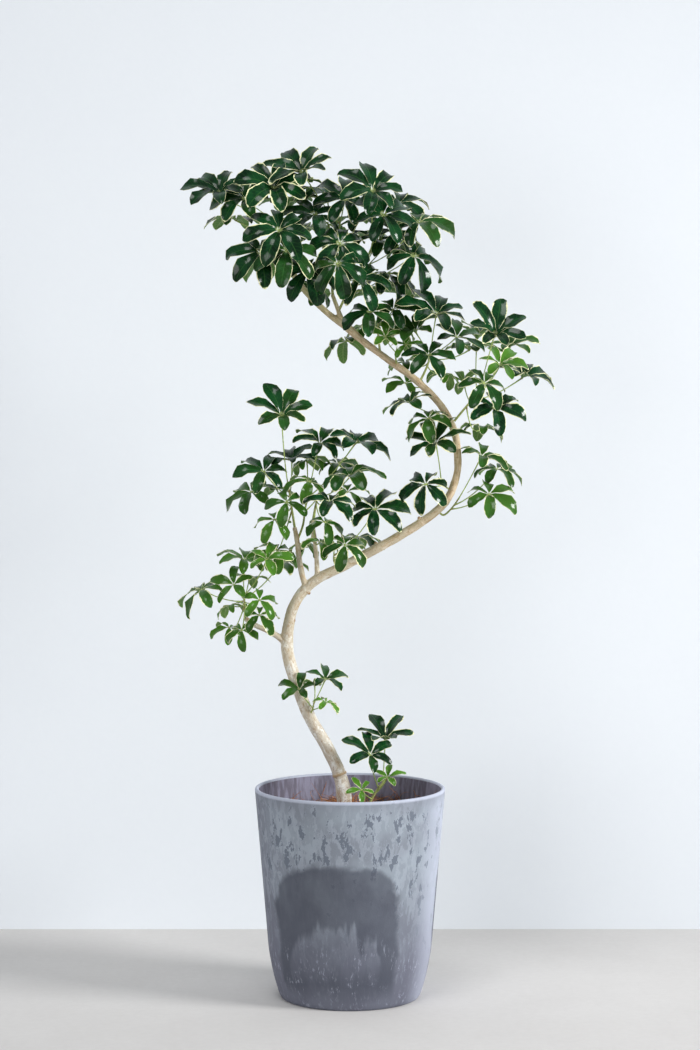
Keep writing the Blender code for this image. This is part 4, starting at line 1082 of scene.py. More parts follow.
def mesh_of(name: str, bm: bmesh.types.BMesh,
            materials: Sequence[bpy.types.Material] = ()) -> bpy.types.Mesh:
    """Return a finished shape as a mesh with its materials in order, and free the shape."""
    mesh = bpy.data.meshes.new(name)
    bm.to_mesh(mesh)
    bm.free()
    for material in materials:
        mesh.materials.append(material)
    return mesh


def placed(name: str, data: bpy.types.ID) -> bpy.types.Object:
    """Return a new object of the scene with the given mesh, light or camera."""
    made = bpy.data.objects.new(name, data)
    bpy.context.scene.collection.objects.link(made)
    return made


def shown(name: str, mesh: bpy.types.Mesh, sharp_degrees: float = SHARP_DEGREES) -> bpy.types.Object:
    """Return a smooth-shaded object of the scene with edges over an angle kept sharp."""
    mesh.shade_smooth()
    mesh.set_sharp_from_angle(angle=math.radians(sharp_degrees))
    return placed(name, mesh)


def baked(target: bpy.types.Object) -> None:
    """Replace an object's mesh with its evaluated one and drop its modifiers."""
    evaluated = target.evaluated_get(bpy.context.evaluated_depsgraph_get())
    mesh = bpy.data.meshes.new_from_object(evaluated)
    target.modifiers.clear()
    target.data = mesh


class Joining(Enum):
    """What becomes of closed bodies that meet another one."""

    GROWN_TOGETHER = "UNION"
    CUT_AWAY = "DIFFERENCE"


def combined(target: bpy.types.Object, others: Sequence[bpy.types.Object], joining: Joining) -> None:
    """Grow closed bodies together with an object or cut them out of it, and remove them."""
    for other in others:
        modifier = target.modifiers.new(joining.name, "BOOLEAN")
        modifier.operation = joining.value
        modifier.object = other
        modifier.solver = "MANIFOLD"
    baked(target)
    for other in others:
        bpy.data.objects.remove(other, do_unlink=True)


def spun(profile: Sequence[tuple[float, float]], steps: int) -> bmesh.types.BMesh:
    """Return a closed body turned about Z from (radius, height) points that start and end on the axis."""
    bm = bmesh.new()
    vertices = [bm.verts.new((radius, 0.0, height)) for radius, height in profile]
    edges = [bm.edges.new(pair) for pair in zip(vertices, vertices[1:])]
    bmesh.ops.spin(
        bm, geom=[*vertices, *edges], cent=(0.0, 0.0, 0.0), axis=(0.0, 0.0, 1.0), dvec=(0.0, 0.0, 0.0),
        angle=math.tau, steps=steps, use_merge=True, use_duplicate=False,
    )
    bmesh.ops.remove_doubles(bm, verts=bm.verts, dist=0.00001)
    bmesh.ops.recalc_face_normals(bm, faces=bm.faces)
    return bm


def seat(piece: bpy.types.Object, slot: str, *nodes: str) -> bpy.types.Object:
    """Let a piece ride on the plant and hide the nodes it stands for."""
    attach(piece, "root")
    if nodes:
        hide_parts(*nodes)
    triangles = sum(len(face.vertices) - 2 for face in piece.data.polygons)
    LOG.info("%s: %d triangles", piece.name, triangles)
    return piece


@dataclass
class Planter:
    """The turned planter: a tapered wall with a rounded rim, a rounded foot and four drain holes."""

    outside: tuple = (
        (0.1895, 0.416),
        (0.1818, 0.325),
        (0.1741, 0.234),
        (0.1670, 0.150),
        (0.1628, 0.100),
        (0.1583, 0.072),
        (0.1525, 0.044),
        (0.1440, 0.014),
    )
    height: float = 0.420
    wall: float = 0.0078
    floor: float = 0.012
    base_radius: float = 0.136
    foot: tuple = ((0.0048, 0.0055), (0.002, 0.0012), (0.0, 0.0))
    floor_round: float = 0.010
    rim_steps: int = 8
    drains: int = 4
    drain_radius: float = 0.007
    drain_circle: float = 0.075
    drain_sides: int = 32
    steps: int = 128
    profile_steps: int = 3
    inward_limit: float = -0.0002

    def inside(self) -> list[tuple[float, float]]:
        """Return the inner profile from the rim down to the floor."""
        wall = [(radius - self.wall, height) for radius, height in self.outside[:-1:2]]
        lowest = self.outside[-1][0] - self.wall
        return [*wall, (lowest, self.floor + self.floor_round), (lowest - self.floor_round, self.floor)]

    def wall_radius(self, height: float) -> float:
        """Return the inner radius at a height."""
        inside = self.inside()
        for (upper_radius, upper), (lower_radius, lower) in zip(inside, inside[1:]):
            if lower <= height <= upper:
                share = (height - lower) / (upper - lower)
                return lower_radius + share * (upper_radius - lower_radius)
        return inside[0][0]

    def rounded(self, profile: Sequence[tuple[float, float]]) -> list[tuple[float, float]]:
        """Return a profile with smooth stretches between its points."""
        line = smooth_path([Vector(point) for point in profile], self.profile_steps)
        return [tuple(point) for point in line]

    def build(self) -> bpy.types.Object:
        """Return the planter in its two glazes."""
        top = self.outside[0][1]
        bm = spun(self.profile(), self.steps)
        for face in bm.faces:
            middle = face.calc_center_median()
            inward = face.normal.x * middle.x + face.normal.y * middle.y < self.inward_limit
            face.material_index = 1 if inward and middle.z < top else 0
        glazes = [MottledGlaze().build(), InnerGlaze().build()]
        shell = shown("planter_shell", mesh_of("planter_shell", bm, glazes))
        combined(shell, [self.drain(index) for index in range(self.drains)], Joining.CUT_AWAY)
        shell.data.set_sharp_from_angle(angle=math.radians(SHARP_DEGREES))
        return seat(shell, "planter", "pot")

    def profile(self) -> list[tuple[float, float]]:
        """Return the whole profile from the floor's middle over the rim to the underside's."""
        outer, top = self.outside[0]
        half = self.wall / 2
        turns = [math.pi * step / self.rim_steps for step in range(1, self.rim_steps)]
        rim = [(outer - half - half * math.cos(turn), top + (self.height - top) * math.sin(turn))
               for turn in turns]
        foot = [(self.base_radius + wider, height) for wider, height in self.foot]
        return [(0.0, self.floor), *reversed(self.rounded(self.inside())), *rim,
                *self.rounded(self.outside), *foot, (0.0, 0.0)]

    def drain(self, index: int) -> bpy.types.Object:
        """Return the cutter of one drain hole."""
        angle = math.tau * (index + 0.5) / self.drains
        place = Vector((math.cos(angle), math.sin(angle), 0.0)) * self.drain_circle
        bm = bmesh.new()
        bmesh.ops.create_cone(
            bm, cap_ends=True, segments=self.drain_sides, depth=self.floor * 3,
            radius1=self.drain_radius, radius2=self.drain_radius, matrix=Matrix.Translation(place),
        )
        return shown("drain", mesh_of("drain", bm))


@dataclass(frozen=True)
class Wisps:
    """A group of loose strands: how many there are, how steeply they climb and how long they are."""

    count: int
    climb: tuple[float, float]
    length: tuple[float, float]


@dataclass
class FibreMulch:
    """The coconut fibre: a mounded bed round the trunk under a tangle of loose strands."""

    planter: Planter
    bottom: float = 0.3443
    edge_top: float = 0.359
    rise: float = 0.018
    rise_spread: float = 0.055
    wave: float = 0.0025
    wave_turns: tuple = (95, 83, 167)
    crumbs: float = 0.0016
    crumb_scale: float = 140.0
    wall_room: float = 0.0009
    stem_room: float = 0.0006
    rings: int = 24
    sides: int = 72
    hole_sides: int = 24
    loose: Wisps = Wisps(760, (-0.1, 0.45), (0.018, 0.055))
    at_wall: Wisps = Wisps(190, (0.4, 1.35), (0.026, 0.062))
    at_foot: Wisps = Wisps(150, (0.6, 1.4), (0.026, 0.056))
    seed_step: int = 71
    loose_share: float = 0.985
    highest: float = 0.41
    strand_sides: int = 3
    strand_sharp_degrees: float = 75.0
    strand_radius: tuple = (0.00028, 0.00062)
    strand_taper: tuple = (0.6, 1.0, 1.05, 1.0, 0.8, 0.4)
    strand_room: float = 0.0014
    strand_lift: float = 0.0006
    strand_bend: tuple = (-0.9, 0.9)
    strand_sag: tuple = (0.2, 0.9)
    strand_turn: tuple = (0.3, 1.0)
    above_bed: tuple = (0.0, 0.003)
    from_wall: tuple = (0.002, 0.012)
    from_stem: tuple = (0.017, 0.058)
    wall_heading: tuple = (0.9, 1.6)
    foot_heading: tuple = (0.9, 2.2)

    def surface(self, x: float, y: float) -> float:
        """Return the bed's height: a mound round the trunk with small waves."""
        away = math.hypot(x - TRUNK[2][0] * CENTIMETRE, y)
        mound = self.rise * math.exp(-((away / self.rise_spread) ** 2))
        first, second, crossing = self.wave_turns
        waves = math.sin(x * first + 1.0) * math.cos(y * second) + 0.6 * math.sin((x + y) * crossing)
        return self.edge_top + mound + self.wave * waves

    def bed(self) -> bpy.types.Object:
        """Return the bed with its holes for the trunk and the sprout."""
        edge = self.planter.wall_radius(self.bottom) - self.wall_room
        top = [(edge * ring / self.rings, self.edge_top) for ring in range(self.rings + 1)]
        bm = spun([*top, (edge, self.bottom), (0.0, self.bottom)], self.sides)
        for vertex in bm.verts:
            if vertex.co.z > (self.bottom + self.edge_top) / 2:
                crumbs = noise.noise(vertex.co * self.crumb_scale) * self.crumbs
                vertex.co.z = self.surface(vertex.co.x, vertex.co.y) + crumbs
        browns = FibreBrown("fibre_bed", display(74, 48, 32), display(122, 80, 50), display(160, 108, 66))
        bed = shown("fibre_bed", mesh_of("fibre_bed", bm, [browns.build()]))
        sprout = SHOOTS["pot_sprout"]
        trunk = smooth_path([sighted(*station[:3]) for station in TRUNK[:4]], 4)
        stem = smooth_path([sighted(*point) for point in sprout.path], 3)
        cutters = []
        for line, radius in ((trunk, TRUNK[1][3]), (stem, sprout.radius)):
            hole = Build()
            radii = [radius * MILLIMETRE + self.stem_room] * len(line)
            hole.rod(line, radii, self.hole_sides, Vector())
            cutters.append(hole.piece("hole"))
        combined(bed, cutters, Joining.CUT_AWAY)
        return seat(bed, "fibre", "coconut_fibre")

    def strand(self, build: Build, draw: random.Random, start: Vector, heading: float,
               wisps: Wisps) -> None:
        """Add one curved strand.

        Args:
            build: The mesh it goes into.
            draw: The random draws.
            start: Where it starts.
            heading: Its first direction, seen from above.
            wisps: The group it belongs to.
        """
        climb = draw.uniform(*wisps.climb)
        length = draw.uniform(*wisps.length)
        bend = draw.uniform(*self.strand_bend)
        sag = draw.uniform(*self.strand_sag)
        steps = len(self.strand_taper) - 1
        place = start.copy()
        points = [place.copy()]
        for step in range(steps):
            heading += bend * draw.uniform(*self.strand_turn)
            level = climb * (1.0 - sag * 2.0 * step / steps)
            run = Vector((math.cos(heading) * math.cos(level), math.sin(heading) * math.cos(level),
                          math.sin(level)))
            place = place + run * (length / steps)
            reach = self.planter.wall_radius(min(place.z, self.highest)) - self.strand_room
            away = math.hypot(place.x, place.y)
            if away > reach:
                place.x *= reach / away
                place.y *= reach / away
            place.z = max(place.z, self.surface(place.x, place.y) + self.strand_lift)
            points.append(place.copy())
        radius = draw.uniform(*self.strand_radius)
        radii = [radius * size for size in self.strand_taper]
        build.rod(points, radii, self.strand_sides, Vector((draw.random(), draw.random(), 0.0)))

    def on_bed(self, centre: Vector, away: float, turn: float, above: float = 0.0) -> Vector:
        """Return the point on or above the bed at a distance and a turn from a centre."""
        x, y = centre.x + away * math.cos(turn), centre.y + away * math.sin(turn)
        return Vector((x, y, self.surface(x, y) + above))

    def strands(self) -> bpy.types.Object:
        """Return the loose strands on the bed, against the wall and at the trunk's foot."""
        draw = random.Random(SEED + self.seed_step)
        build = Build()
        edge = self.planter.wall_radius(self.edge_top)
        foot = sighted(*TRUNK[1][:3])
        for _ in range(self.loose.count):
            away = edge * math.sqrt(draw.random()) * self.loose_share
            turn = draw.uniform(0.0, math.tau)
            start = self.on_bed(Vector(), away, turn, draw.uniform(*self.above_bed))
            self.strand(build, draw, start, draw.uniform(0.0, math.tau), self.loose)
        for _ in range(self.at_wall.count):
            turn = draw.uniform(0.0, math.tau)
            start = self.on_bed(Vector(), edge - draw.uniform(*self.from_wall), turn)
            heading = turn + draw.choice((-1.0, 1.0)) * draw.uniform(*self.wall_heading)
            self.strand(build, draw, start, heading, self.at_wall)
        for _ in range(self.at_foot.count):
            turn = draw.uniform(0.0, math.tau)
            start = self.on_bed(foot, draw.uniform(*self.from_stem), turn)
            self.strand(build, draw, start, turn + draw.uniform(*self.foot_heading), self.at_foot)
        browns = FibreBrown(
            "fibre_strands", display(132, 78, 44), display(184, 114, 64), display(216, 156, 98)
        )
        piece = build.piece("fibre_strands", [browns.build()], self.strand_sharp_degrees)
        return seat(piece, "fibre")


@dataclass(frozen=True)
class Limb:
    """One limb of the wood: its centre line and its radius at each point, in metres."""

    line: list[Vector]
    radii: list[float]


@dataclass
class WoodyTrunk:
    """The bent trunk with its branches, cut stubs and ring scar, blended into one piece of wood."""

    sides: int = 20
    per_span: int = 4
    voxel: float = 0.0014
    soften_share: float = 0.5
    soften_steps: int = 5
    grain_step: float = 3.7
    scar_point: int = 2
    scar_rise: float = 0.0018
    scar_shape: tuple = ((-0.0026, -0.0012), (-0.0012, 0.0), (0.0012, 0.0), (0.0026, -0.0012))
    stub_shape: tuple = ((0.001, 0.0046), (0.0065, 0.0042), (0.0105, 0.0034), (0.0122, 0.0026))
    worn_reach: float = 0.0052
    lump_scale: float = 48.0
    lump_height: float = 0.00070
    ring_squash: tuple = (12.0, 12.0, 150.0)
    ring_height: float = 0.00022

    def limb(self, stations: Sequence[tuple]) -> Limb:
        """Return one limb of the trunk's tables."""
        line = smooth_path([sighted(*station[:3]) for station in stations], self.per_span)
        radii = smooth_path([Vector((station[3] * MILLIMETRE, 0.0)) for station in stations], self.per_span)
        return Limb(line, [radius.x for radius in radii])

    def turned(self, place: Vector, ahead: Vector, shape: Sequence[tuple[float, float]],
               radius: float = 0.0) -> Limb:
        """Return a short limb from pairs of a step ahead and what is added to a radius."""
        return Limb([place + ahead * step for step, _ in shape], [radius + more for _, more in shape])

    def scar(self) -> tuple[Vector, Vector]:
        """Return the ring scar's place and the trunk's direction there."""
        ahead = sighted(*TRUNK[self.scar_point + 1][:3]) - sighted(*TRUNK[self.scar_point - 1][:3])
        return sighted(*TRUNK[self.scar_point][:3]), ahead.normalized()

    def limbs(self) -> list[Limb]:
        """Return the trunk, its branches, its scar and its stubs."""
        radius = TRUNK[self.scar_point][3] * MILLIMETRE + self.scar_rise
        stubs = [self.turned(sighted(*place), Vector(pointing).normalized(), self.stub_shape)
                 for place, pointing in STUBS]
        return [*(self.limb(stations) for stations in (TRUNK, *BRANCHES)),
                self.turned(*self.scar(), self.scar_shape, radius), *stubs]

    def build(self) -> bpy.types.Object:
        """Return the wood with its relief and its bark."""
        limbs = self.limbs()
        pieces = []
        for limb in limbs:
            rod = Build()
            rod.rod(limb.line, limb.radii, self.sides, Vector())
            pieces.append(rod.piece("trunk_bark"))
        wood, *others = pieces
        combined(wood, others, Joining.GROWN_TOGETHER)
        remesh = wood.modifiers.new("even_out", "REMESH")
        remesh.mode = "VOXEL"
        remesh.voxel_size = self.voxel
        smooth = wood.modifiers.new("soften", "SMOOTH")
        smooth.factor = self.soften_share
        smooth.iterations = self.soften_steps
        baked(wood)
        self.grow_bark(wood.data, limbs)
        wood.data.materials.clear()
        wood.data.materials.append(SmoothBark(*self.scar()).build())
        wood.data.shade_smooth()
        return seat(wood, "bark", "trunk")

    def grow_bark(self, mesh: bpy.types.Mesh, limbs: Sequence[Limb]) -> None:
        """Give the wood its small relief and the grain coordinates that its bark follows.

        Args:
            mesh: The smooth wood.
            limbs: The limbs, with the stubs last.
        """
        stations = []
        tips = [limb.line[-1] for limb in limbs[-len(STUBS):]]
        for number, limb in enumerate(limbs):
            travelled = number * self.grain_step
            for index, frame in enumerate(frames_along(limb.line)):
                if index:
                    travelled += (limb.line[index] - limb.line[index - 1]).length
                stations.append((frame, frame.inverted(), travelled))
        tree = search_tree([frame.translation for frame, _, _ in stations])
        grain = mesh.attributes.new("grain", "FLOAT_VECTOR", "POINT")
        worn = mesh.attributes.new("worn", "FLOAT_VECTOR", "POINT")
        normals = [vertex.normal.copy() for vertex in mesh.vertices]
        for index, vertex in enumerate(mesh.vertices):
            _, inverse, travelled = stations[tree.find(vertex.co)[1]]
            to_tip = min((vertex.co - tip).length for tip in tips)
            local = inverse @ vertex.co
            coordinate = Vector((local.x, local.y, travelled + local.z))
            grain.data[index].vector = coordinate
            share = clamped((self.worn_reach - to_tip) / self.worn_reach * 2.0)
            worn.data[index].vector = Vector((share, 0.0, 0.0))
            lumps = noise.noise(vertex.co * self.lump_scale) * self.lump_height
            rings = noise.noise(coordinate * Vector(self.ring_squash)) * self.ring_height
            vertex.co += normals[index] * (lumps + rings)


class Leaf:
    """One palmate leaf: a hub on a stalk with leaflets all round it."""

    def __init__(self, shoot: Shoot, root: Vector, youth: float, place: tuple, draw: random.Random) -> None:
        """Draw a leaf's form.

        Args:
            shoot: The shoot that it grows on.
            root: Where its stalk leaves the stem.
            youth: -1 for the shoot's lowest leaf up to 1 for its topmost.
            place: Its hub's x and z, its longest leaflet and its side.
            draw: The shoot's random draws.
        """
        x, z, length, side = place
        self.root = root
        self.length = length * CENTIMETRE
        self.count = next(count for least, count in LEAFLETS_BY_LENGTH if length >= least)
        front = Vector((root.x, 0.0, root.z)) - Vector((x, 0.0, z + TABLE_FLOOR)) * CENTIMETRE
        spread = draw.uniform(1.0 - REACH_SPREAD, 1.0 + REACH_SPREAD)
        reach = max(shoot.reach * spread * CENTIMETRE, front.length * LEAST_SLANT)
        self.depth = root.y / CENTIMETRE + side * math.sqrt(reach**2 - front.length**2) / CENTIMETRE
        self.place = (x, z)
        lift = shoot.lift + YOUNG_LIFT * youth
        droop = shoot.droop + YOUNG_DROOP * youth
        self.lift = math.radians(lift + draw.uniform(-LIFT_SPREAD, LIFT_SPREAD))
        self.droop = math.radians(droop + draw.uniform(-DROOP_SPREAD, DROOP_SPREAD))
        self.facing = shoot.facing
        leans = [draw.uniform(-LEAN_SPREAD, LEAN_SPREAD) for _ in range(2)]
        self.lean = Vector((*leans, 0.0))
        self.spin = math.pi + math.tau * (0.5 + draw.uniform(-SPIN_SPREAD, SPIN_SPREAD)) / self.count
        self.shares = [draw.uniform(1.0 - LEAFLET_SPREAD, 1.0) for _ in range(self.count)]
        self.tilts = [math.radians(draw.uniform(-TILT_SPREAD, TILT_SPREAD)) for _ in range(self.count)]
        self.settle(0.0, 0.0)

    def settle(self, depth_step: float, turn_step: float) -> None:
        """Place the hub and its axes for one step along the line of sight and one turn."""
        self.hub = sighted(self.place[0], self.depth + depth_step, self.place[1])
        outward = self.hub - self.root
        level = Vector((outward.x, outward.y, 0.0)) / max(outward.length, SHORTEST_OUTWARD)
        tilt = Vector((level.x * SIDE_TILT, (level.y * FRONT_TILT - LIGHT_TILT) * self.facing, 1.0))
        self.axis = (tilt + self.lean).normalized()
        self.out = (outward - self.axis * outward.dot(self.axis)).normalized()
        self.across = self.axis.cross(self.out)
        self.turn = self.spin + turn_step * math.tau / self.count

    def find_in(self, tree: KDTree) -> int:
        """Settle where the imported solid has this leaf.

        Args:
            tree: A search tree over the solid's corners.

        Returns:
            How many leaflet tips lie on the solid's corners.
        """
        best = (-1, 0.0, 0.0)
        for depth_step in DEPTH_STEPS_CM:
            for turn_step in TURN_STEPS:
                self.settle(depth_step, turn_step)
                tips = [self.rib_point(index, 1.0)[0] for index in range(self.count)]
                found = sum(tree.find(tip)[2] < TIP_MATCH for tip in tips)
                if found > best[0]:
                    best = (found, depth_step, turn_step)
        self.settle(best[1], best[2])
        return best[0]

    def stalk(self, steps: int) -> list[Vector]:
        """Return the stalk's points from the stem to the hub, which it always meets from below."""
        span = self.hub - self.root
        sag = max(span.length * STALK_SAG, span.length * STALK_RISE - span.dot(self.axis))
        bend = self.root + span * 0.5 - self.axis * sag
        points = []
        for step in range(steps + 1):
            t = step / steps
            points.append(self.root * (1 - t) ** 2 + bend * 2 * t * (1 - t) + self.hub * t**2)
        return points

    def leaflet(self, index: int) -> tuple[Vector, float, float]:
        """Return a leaflet's direction, length and rise at the hub."""
        angle = self.turn + math.tau * index / self.count
        radial = self.out * math.cos(angle) + self.across * math.sin(angle)
        inward = (1.0 - math.cos(angle)) / 2
        length = self.length * self.shares[index] * (1.0 - (1.0 - SHORTEST_LEAFLET) * inward)
        return radial, length, self.lift + self.tilts[index]

    def rib_point(self, index: int, t: float) -> tuple[Vector, Vector, Vector]:
        """Return the place, the side direction and the normal at a share t of a leaflet."""
        radial, length, lift = self.leaflet(index)
        rise = lift - self.droop * t
        run = (math.sin(lift) - math.sin(rise)) / self.droop
        climb = (math.cos(rise) - math.cos(lift)) / self.droop
        place = self.hub + (radial * run + self.axis * climb) * length
        normal = self.axis * math.cos(rise) - radial * math.sin(rise)
        return place, self.axis.cross(radial), normal


class LeafPart(Enum):
    """The materials of a leafy shoot by their place on the piece."""

    UPPER = 0
    UNDERSIDE = 1
    STALK = 2


@dataclass
class LeafyShoot:
    """One green shoot: a stem, its stalks and its palmate leaves."""

    name: str
    shoot: Shoot
    number: int
    finishes: Sequence[bpy.types.Material]
    rows: tuple = (
        (0.00, 0.012), (0.06, 0.014), (0.15, 0.066), (0.33, 0.142), (0.54, 0.186), (0.73, 0.180),
        (0.87, 0.132), (0.955, 0.068), (1.00, 0.004),
    )
    fold: float = 0.27
    wave: float = 0.04
    wave_room: float = 0.0045
    thickness: float = 0.0007
    waves_a_leaflet: tuple = (1.2, 2.2)
    roll: tuple = (-0.22, 0.22)
    seed_factor: int = 3
    stem_sides: int = 10
    stem_steps: int = 4
    stem_shares: tuple = (0.2, 0.9)
    stem_taper: float = 0.3
    bud_sides: int = 8
    bud_shares: tuple = (0.3, 0.6)
    bud_shape: tuple = ((0.0, 1.0), (0.004, 0.95), (0.009, 0.6), (0.013, 0.12))
    stalk_sides: int = 6
    stalk_radii: tuple = (0.0019, 0.0014, 0.0012, 0.00115, 0.0011, 0.0011, 0.00115, 0.0013, 0.0018)
    knob_radius: float = 0.0027
    knob_height: float = 0.0019
    knob_woody: float = 0.25
    most_woody: float = 0.8
    woody_by_radius: float = 0.19
    grown_length: float = 0.080
    fresh_by_smallness: float = 21.0
    fresh_spread: float = 0.30
    cream_spread: float = 0.22
    leaflet_cream_spread: float = 0.24
    leaflet_fresh_spread: float = 0.08
    sharp_degrees: float = 50.0

    def stem(self, per_span: int) -> list[Vector]:
        """Return the stem's centre line with a number of points to each stretch."""
        return smooth_path([sighted(*point) for point in self.shoot.path], per_span)

    def leaves(self) -> list[Leaf]:
        """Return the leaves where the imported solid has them."""
        tree = search_tree([corner.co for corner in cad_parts[self.name].data.vertices])
        draw = random.Random(SEED + self.number)
        path = self.stem(1)
        step = (LAST_LEAF_SHARE - self.shoot.bare) / len(self.shoot.leaves)
        leaves = []
        for rank, place in enumerate(sorted(self.shoot.leaves, key=lambda leaf: leaf[1])):
            root = along(path, self.shoot.bare + step * (rank + 1))
            youth = 2.0 * (rank + 0.5) / len(self.shoot.leaves) - 1.0
            leaf = Leaf(self.shoot, root, youth, place, draw)
            if leaf.find_in(tree) < 2:
                LOG.warning("%s: leaf at %s isn't found in the solid", self.name, place)
            self.keep_inside(leaf)
            leaves.append(leaf)
        return leaves

    def keep_inside(self, leaf: Leaf) -> None:
        """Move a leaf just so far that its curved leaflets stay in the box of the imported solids."""
        low, high = CAD_BOX
        for index in range(leaf.count):
            length = leaf.leaflet(index)[1]
            for share, half_share in self.rows:
                for side in (-1.0, 1.0):
                    place, sideways, normal = leaf.rib_point(index, share)
                    edge = place + (sideways * side + normal * self.fold) * (half_share * length)
                    for axis in range(3):
                        leaf.hub[axis] += max(low[axis] + self.wave_room - edge[axis], 0.0)
                        leaf.hub[axis] -= max(edge[axis] - high[axis] + self.wave_room, 0.0)

    def blade(self, build: Build, leaf: Leaf, index: int, draw: random.Random, mark: Vector) -> None:
        """Add one leaflet: a thin closed blade that narrows to its own short stalk.

        Args:
            build: The mesh it goes into.
            leaf: The leaf.
            index: The leaflet's number on its leaf.
            draw: The random draws.
            mark: The leaflet's seed, cream and freshness.
        """
        small = build.body()
        blade = small.verts.layers.float_vector["blade"]
        last = len(self.rows) - 1
        length = leaf.leaflet(index)[1]
        phase = draw.uniform(0.0, math.tau)
        waves = draw.uniform(*self.waves_a_leaflet)
        roll = draw.uniform(*self.roll)
        grid = bmesh.ops.create_grid(small, x_segments=4, y_segments=last, size=0.5)
        for vertex in grid["verts"]:
            across = -2.0 * vertex.co.x
            share, half_share = self.rows[round((vertex.co.y + 0.5) * last)]
            place, sideways, normal = leaf.rib_point(index, share)
            half = half_share * length
            ripple = self.wave * length * math.sin(share * math.tau * waves + phase + across) * across**2
            ripple *= min(half_share * 8.0, 1.0)
            rise = abs(across) * half * self.fold + ripple + across * half * roll
            vertex.co = place + sideways * (half * across) + normal * rise
            build.set_layers(small, [vertex], Vector((across, share, 0.0)), mark)
        upper = list(small.faces)
        grown = bmesh.ops.extrude_face_region(small, geom=upper, use_keep_orig=True)["geom"]
        for item in grown:
            if isinstance(item, bmesh.types.BMVert):
                item.co -= leaf.rib_point(index, item[blade].y)[2] * self.thickness
            elif isinstance(item, bmesh.types.BMFace):
                item.material_index = LeafPart.UNDERSIDE.value
        build.take(small)

    def add_stem(self, build: Build) -> None:
        """Add the green stem and the bud at its tip."""
        line = self.stem(self.stem_steps)
        radius = self.shoot.radius * MILLIMETRE
        radii = [radius * (1.0 - self.stem_taper * step / (len(line) - 1)) for step in range(len(line))]
        woody = min(self.shoot.radius * self.woody_by_radius, self.most_woody)
        mark = Vector((0.5, 0.0, 0.0))
        build.rod(line, radii, self.stem_sides, mark, self.stem_shares, woody, LeafPart.STALK.value)
        ahead = (line[-1] - line[-2]).normalized()
        bud = [line[-1] + ahead * step for step, _ in self.bud_shape]
        sizes = [radii[-1] * share for _, share in self.bud_shape]
        build.rod(bud, sizes, self.bud_sides, mark, self.bud_shares, 0.0, LeafPart.STALK.value)

    def add_leaf(self, build: Build, leaf: Leaf, draw: random.Random) -> None:
        """Add a leaf: its stalk, its knob and its leaflets with their own tones.

        Args:
            build: The mesh it goes into.
            leaf: The leaf.
            draw: The random draws.
        """
        stalk = leaf.stalk(len(self.stalk_radii) - 1)
        mark = Vector((draw.random(), 0.0, 0.0))
        build.rod(stalk, self.stalk_radii, self.stalk_sides, mark, material_index=LeafPart.STALK.value)
        build.knob(leaf.hub, leaf.axis, self.knob_radius, self.knob_height, Vector((0.5, 0.0, 0.0)),
                   self.knob_woody, LeafPart.STALK.value)
        cream, fresh = self.shoot.age.value
        fresh += (self.grown_length - leaf.length) * self.fresh_by_smallness
        fresh += draw.uniform(-self.fresh_spread, self.fresh_spread)
        cream += draw.uniform(-self.cream_spread, self.cream_spread)
        for index in range(leaf.count):
            seed = draw.random()
            own_cream = draw.uniform(-self.leaflet_cream_spread, self.leaflet_cream_spread)
            own_fresh = draw.uniform(-self.leaflet_fresh_spread, self.leaflet_fresh_spread)
            tones = Vector((seed, clamped(cream + own_cream), clamped(fresh + own_fresh)))
            self.blade(build, leaf, index, draw, tones)

    def build(self) -> bpy.types.Object:
        """Return the shoot as one piece in its materials."""
        build = Build()
        self.add_stem(build)
        draw = random.Random(SEED * self.seed_factor + self.number)
        for leaf in self.leaves():
            self.add_leaf(build, leaf, draw)
        piece = build.piece(self.name + "_leaves", self.finishes, self.sharp_degrees)
        return seat(piece, "leaf", self.name)


@dataclass(frozen=True)
class Lamp:
    """One soft light: its place, its size (m), its power (W) and how far it spreads in degrees."""

    name: str
    place: tuple
    size: float
    power: float
    spread_degrees: float


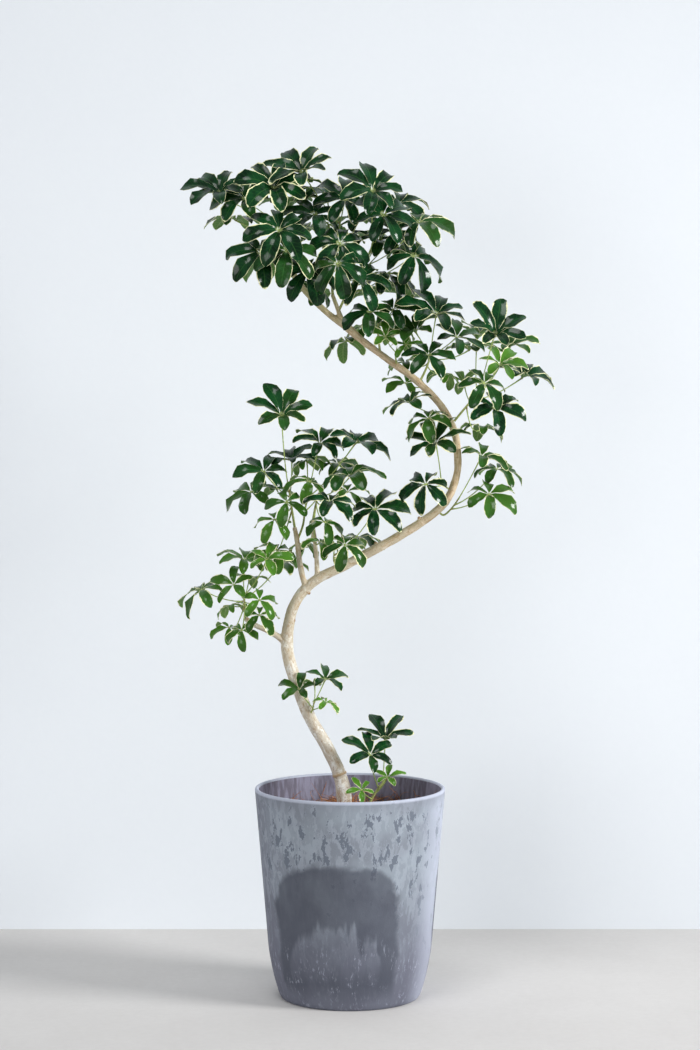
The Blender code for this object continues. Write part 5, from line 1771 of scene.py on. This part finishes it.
@dataclass
class Studio:
    """The plain studio: a pale floor and wall, soft lights and the camera."""

    wall_depth: float = 0.631
    half_width: float = 9.0
    wall_height: float = 6.0
    floor: StudioGround = StudioGround(
        "studio_floor", display(219, 217, 215), display(198, 195, 193), one_sided=False
    )
    wall: StudioGround = StudioGround(
        "studio_wall", display(204, 208, 212), display(199, 203, 208), one_sided=True, glow=0.34
    )
    air: tuple = display(240, 245, 250)
    air_strength: float = 0.30
    lamps: tuple = (
        Lamp("key_light", (3.9, -1.7, 2.2), 1.5, 45.0, 80.0),
        Lamp("fill_light", (-2.6, -4.4, 1.4), 2.4, 76.0, 180.0),
        Lamp("top_light", (-0.5, -1.5, 4.3), 1.5, 9.5, 80.0),
    )
    aim: tuple = (0.0, 0.0, 0.9)
    lens: float = 95.38
    sensor_width: float = 36.0
    pitch_degrees: float = -3.7

    def add_sheet(self, name: str, matrix: Matrix, finish: StudioGround) -> None:
        """Add one flat sheet of the studio."""
        bm = bmesh.new()
        bmesh.ops.create_grid(bm, x_segments=1, y_segments=1, size=1.0, matrix=matrix)
        made = placed(name, mesh_of(name, bm, [finish.build()]))

    def add_sheets(self) -> None:
        """Add the floor and the wall."""
        self.add_sheet("floor", Matrix.Scale(self.half_width, 4), self.floor)
        upright = Matrix.Rotation(math.radians(90.0), 4, "X")
        size = Matrix.Diagonal((self.half_width, self.wall_height / 2, 1.0, 1.0))
        place = Matrix.Translation((0.0, self.wall_depth, self.wall_height / 2))
        self.add_sheet("wall", place @ upright @ size, self.wall)

    def add_light(self) -> None:
        """Add the air's even light and the lamps."""
        world = bpy.data.worlds.new("studio_air")
        world.use_nodes = True
        air = world.node_tree.nodes["Background"]
        air.inputs["Color"].default_value = self.air
        air.inputs["Strength"].default_value = self.air_strength
        bpy.context.scene.world = world
        for lamp in self.lamps:
            light = bpy.data.lights.new(lamp.name, "AREA")
            light.size = lamp.size
            light.energy = lamp.power
            light.spread = math.radians(lamp.spread_degrees)
            made = placed(lamp.name, light)
            made.location = lamp.place
            made.rotation_euler = (Vector(self.aim) - made.location).to_track_quat("-Z", "Y").to_euler()

    def add_camera(self) -> None:
        """Add the camera at the eye that the tables are read from."""
        camera = bpy.data.cameras.new("camera")
        camera.lens = self.lens
        camera.sensor_width = self.sensor_width
        eye = placed("camera", camera)
        eye.location = EYE
        eye.rotation_euler = (math.radians(90.0 + self.pitch_degrees), 0.0, 0.0)
        bpy.context.scene.camera = eye

    def build(self) -> None:
        """Set up the sheets, the lights and the camera."""
        self.add_sheets()
        self.add_light()
        self.add_camera()
        bpy.context.scene.view_settings.view_transform = "Standard"


def dress_soil() -> None:
    """Give the packed soil its potting-soil finish."""
    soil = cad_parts["soil"]
    soil.data.materials.clear()
    soil.data.materials.append(PottingSoil().build())


def main() -> None:
    """Build the planter, its fillings and the plant, then the studio."""
    logging.basicConfig(level=logging.INFO)
    Studio().build()
    planter = Planter()
    planter.build()
    dress_soil()
    mulch = FibreMulch(planter)
    mulch.bed()
    mulch.strands()
    WoodyTrunk().build()
    finishes = [LeafUpper().build(), LeafUnderside().build(), GreenStalk().build()]
    for number, (name, shoot) in enumerate(SHOOTS.items()):
        LeafyShoot(name, shoot, number, finishes).build()


if __name__ == "__main__":
    main()
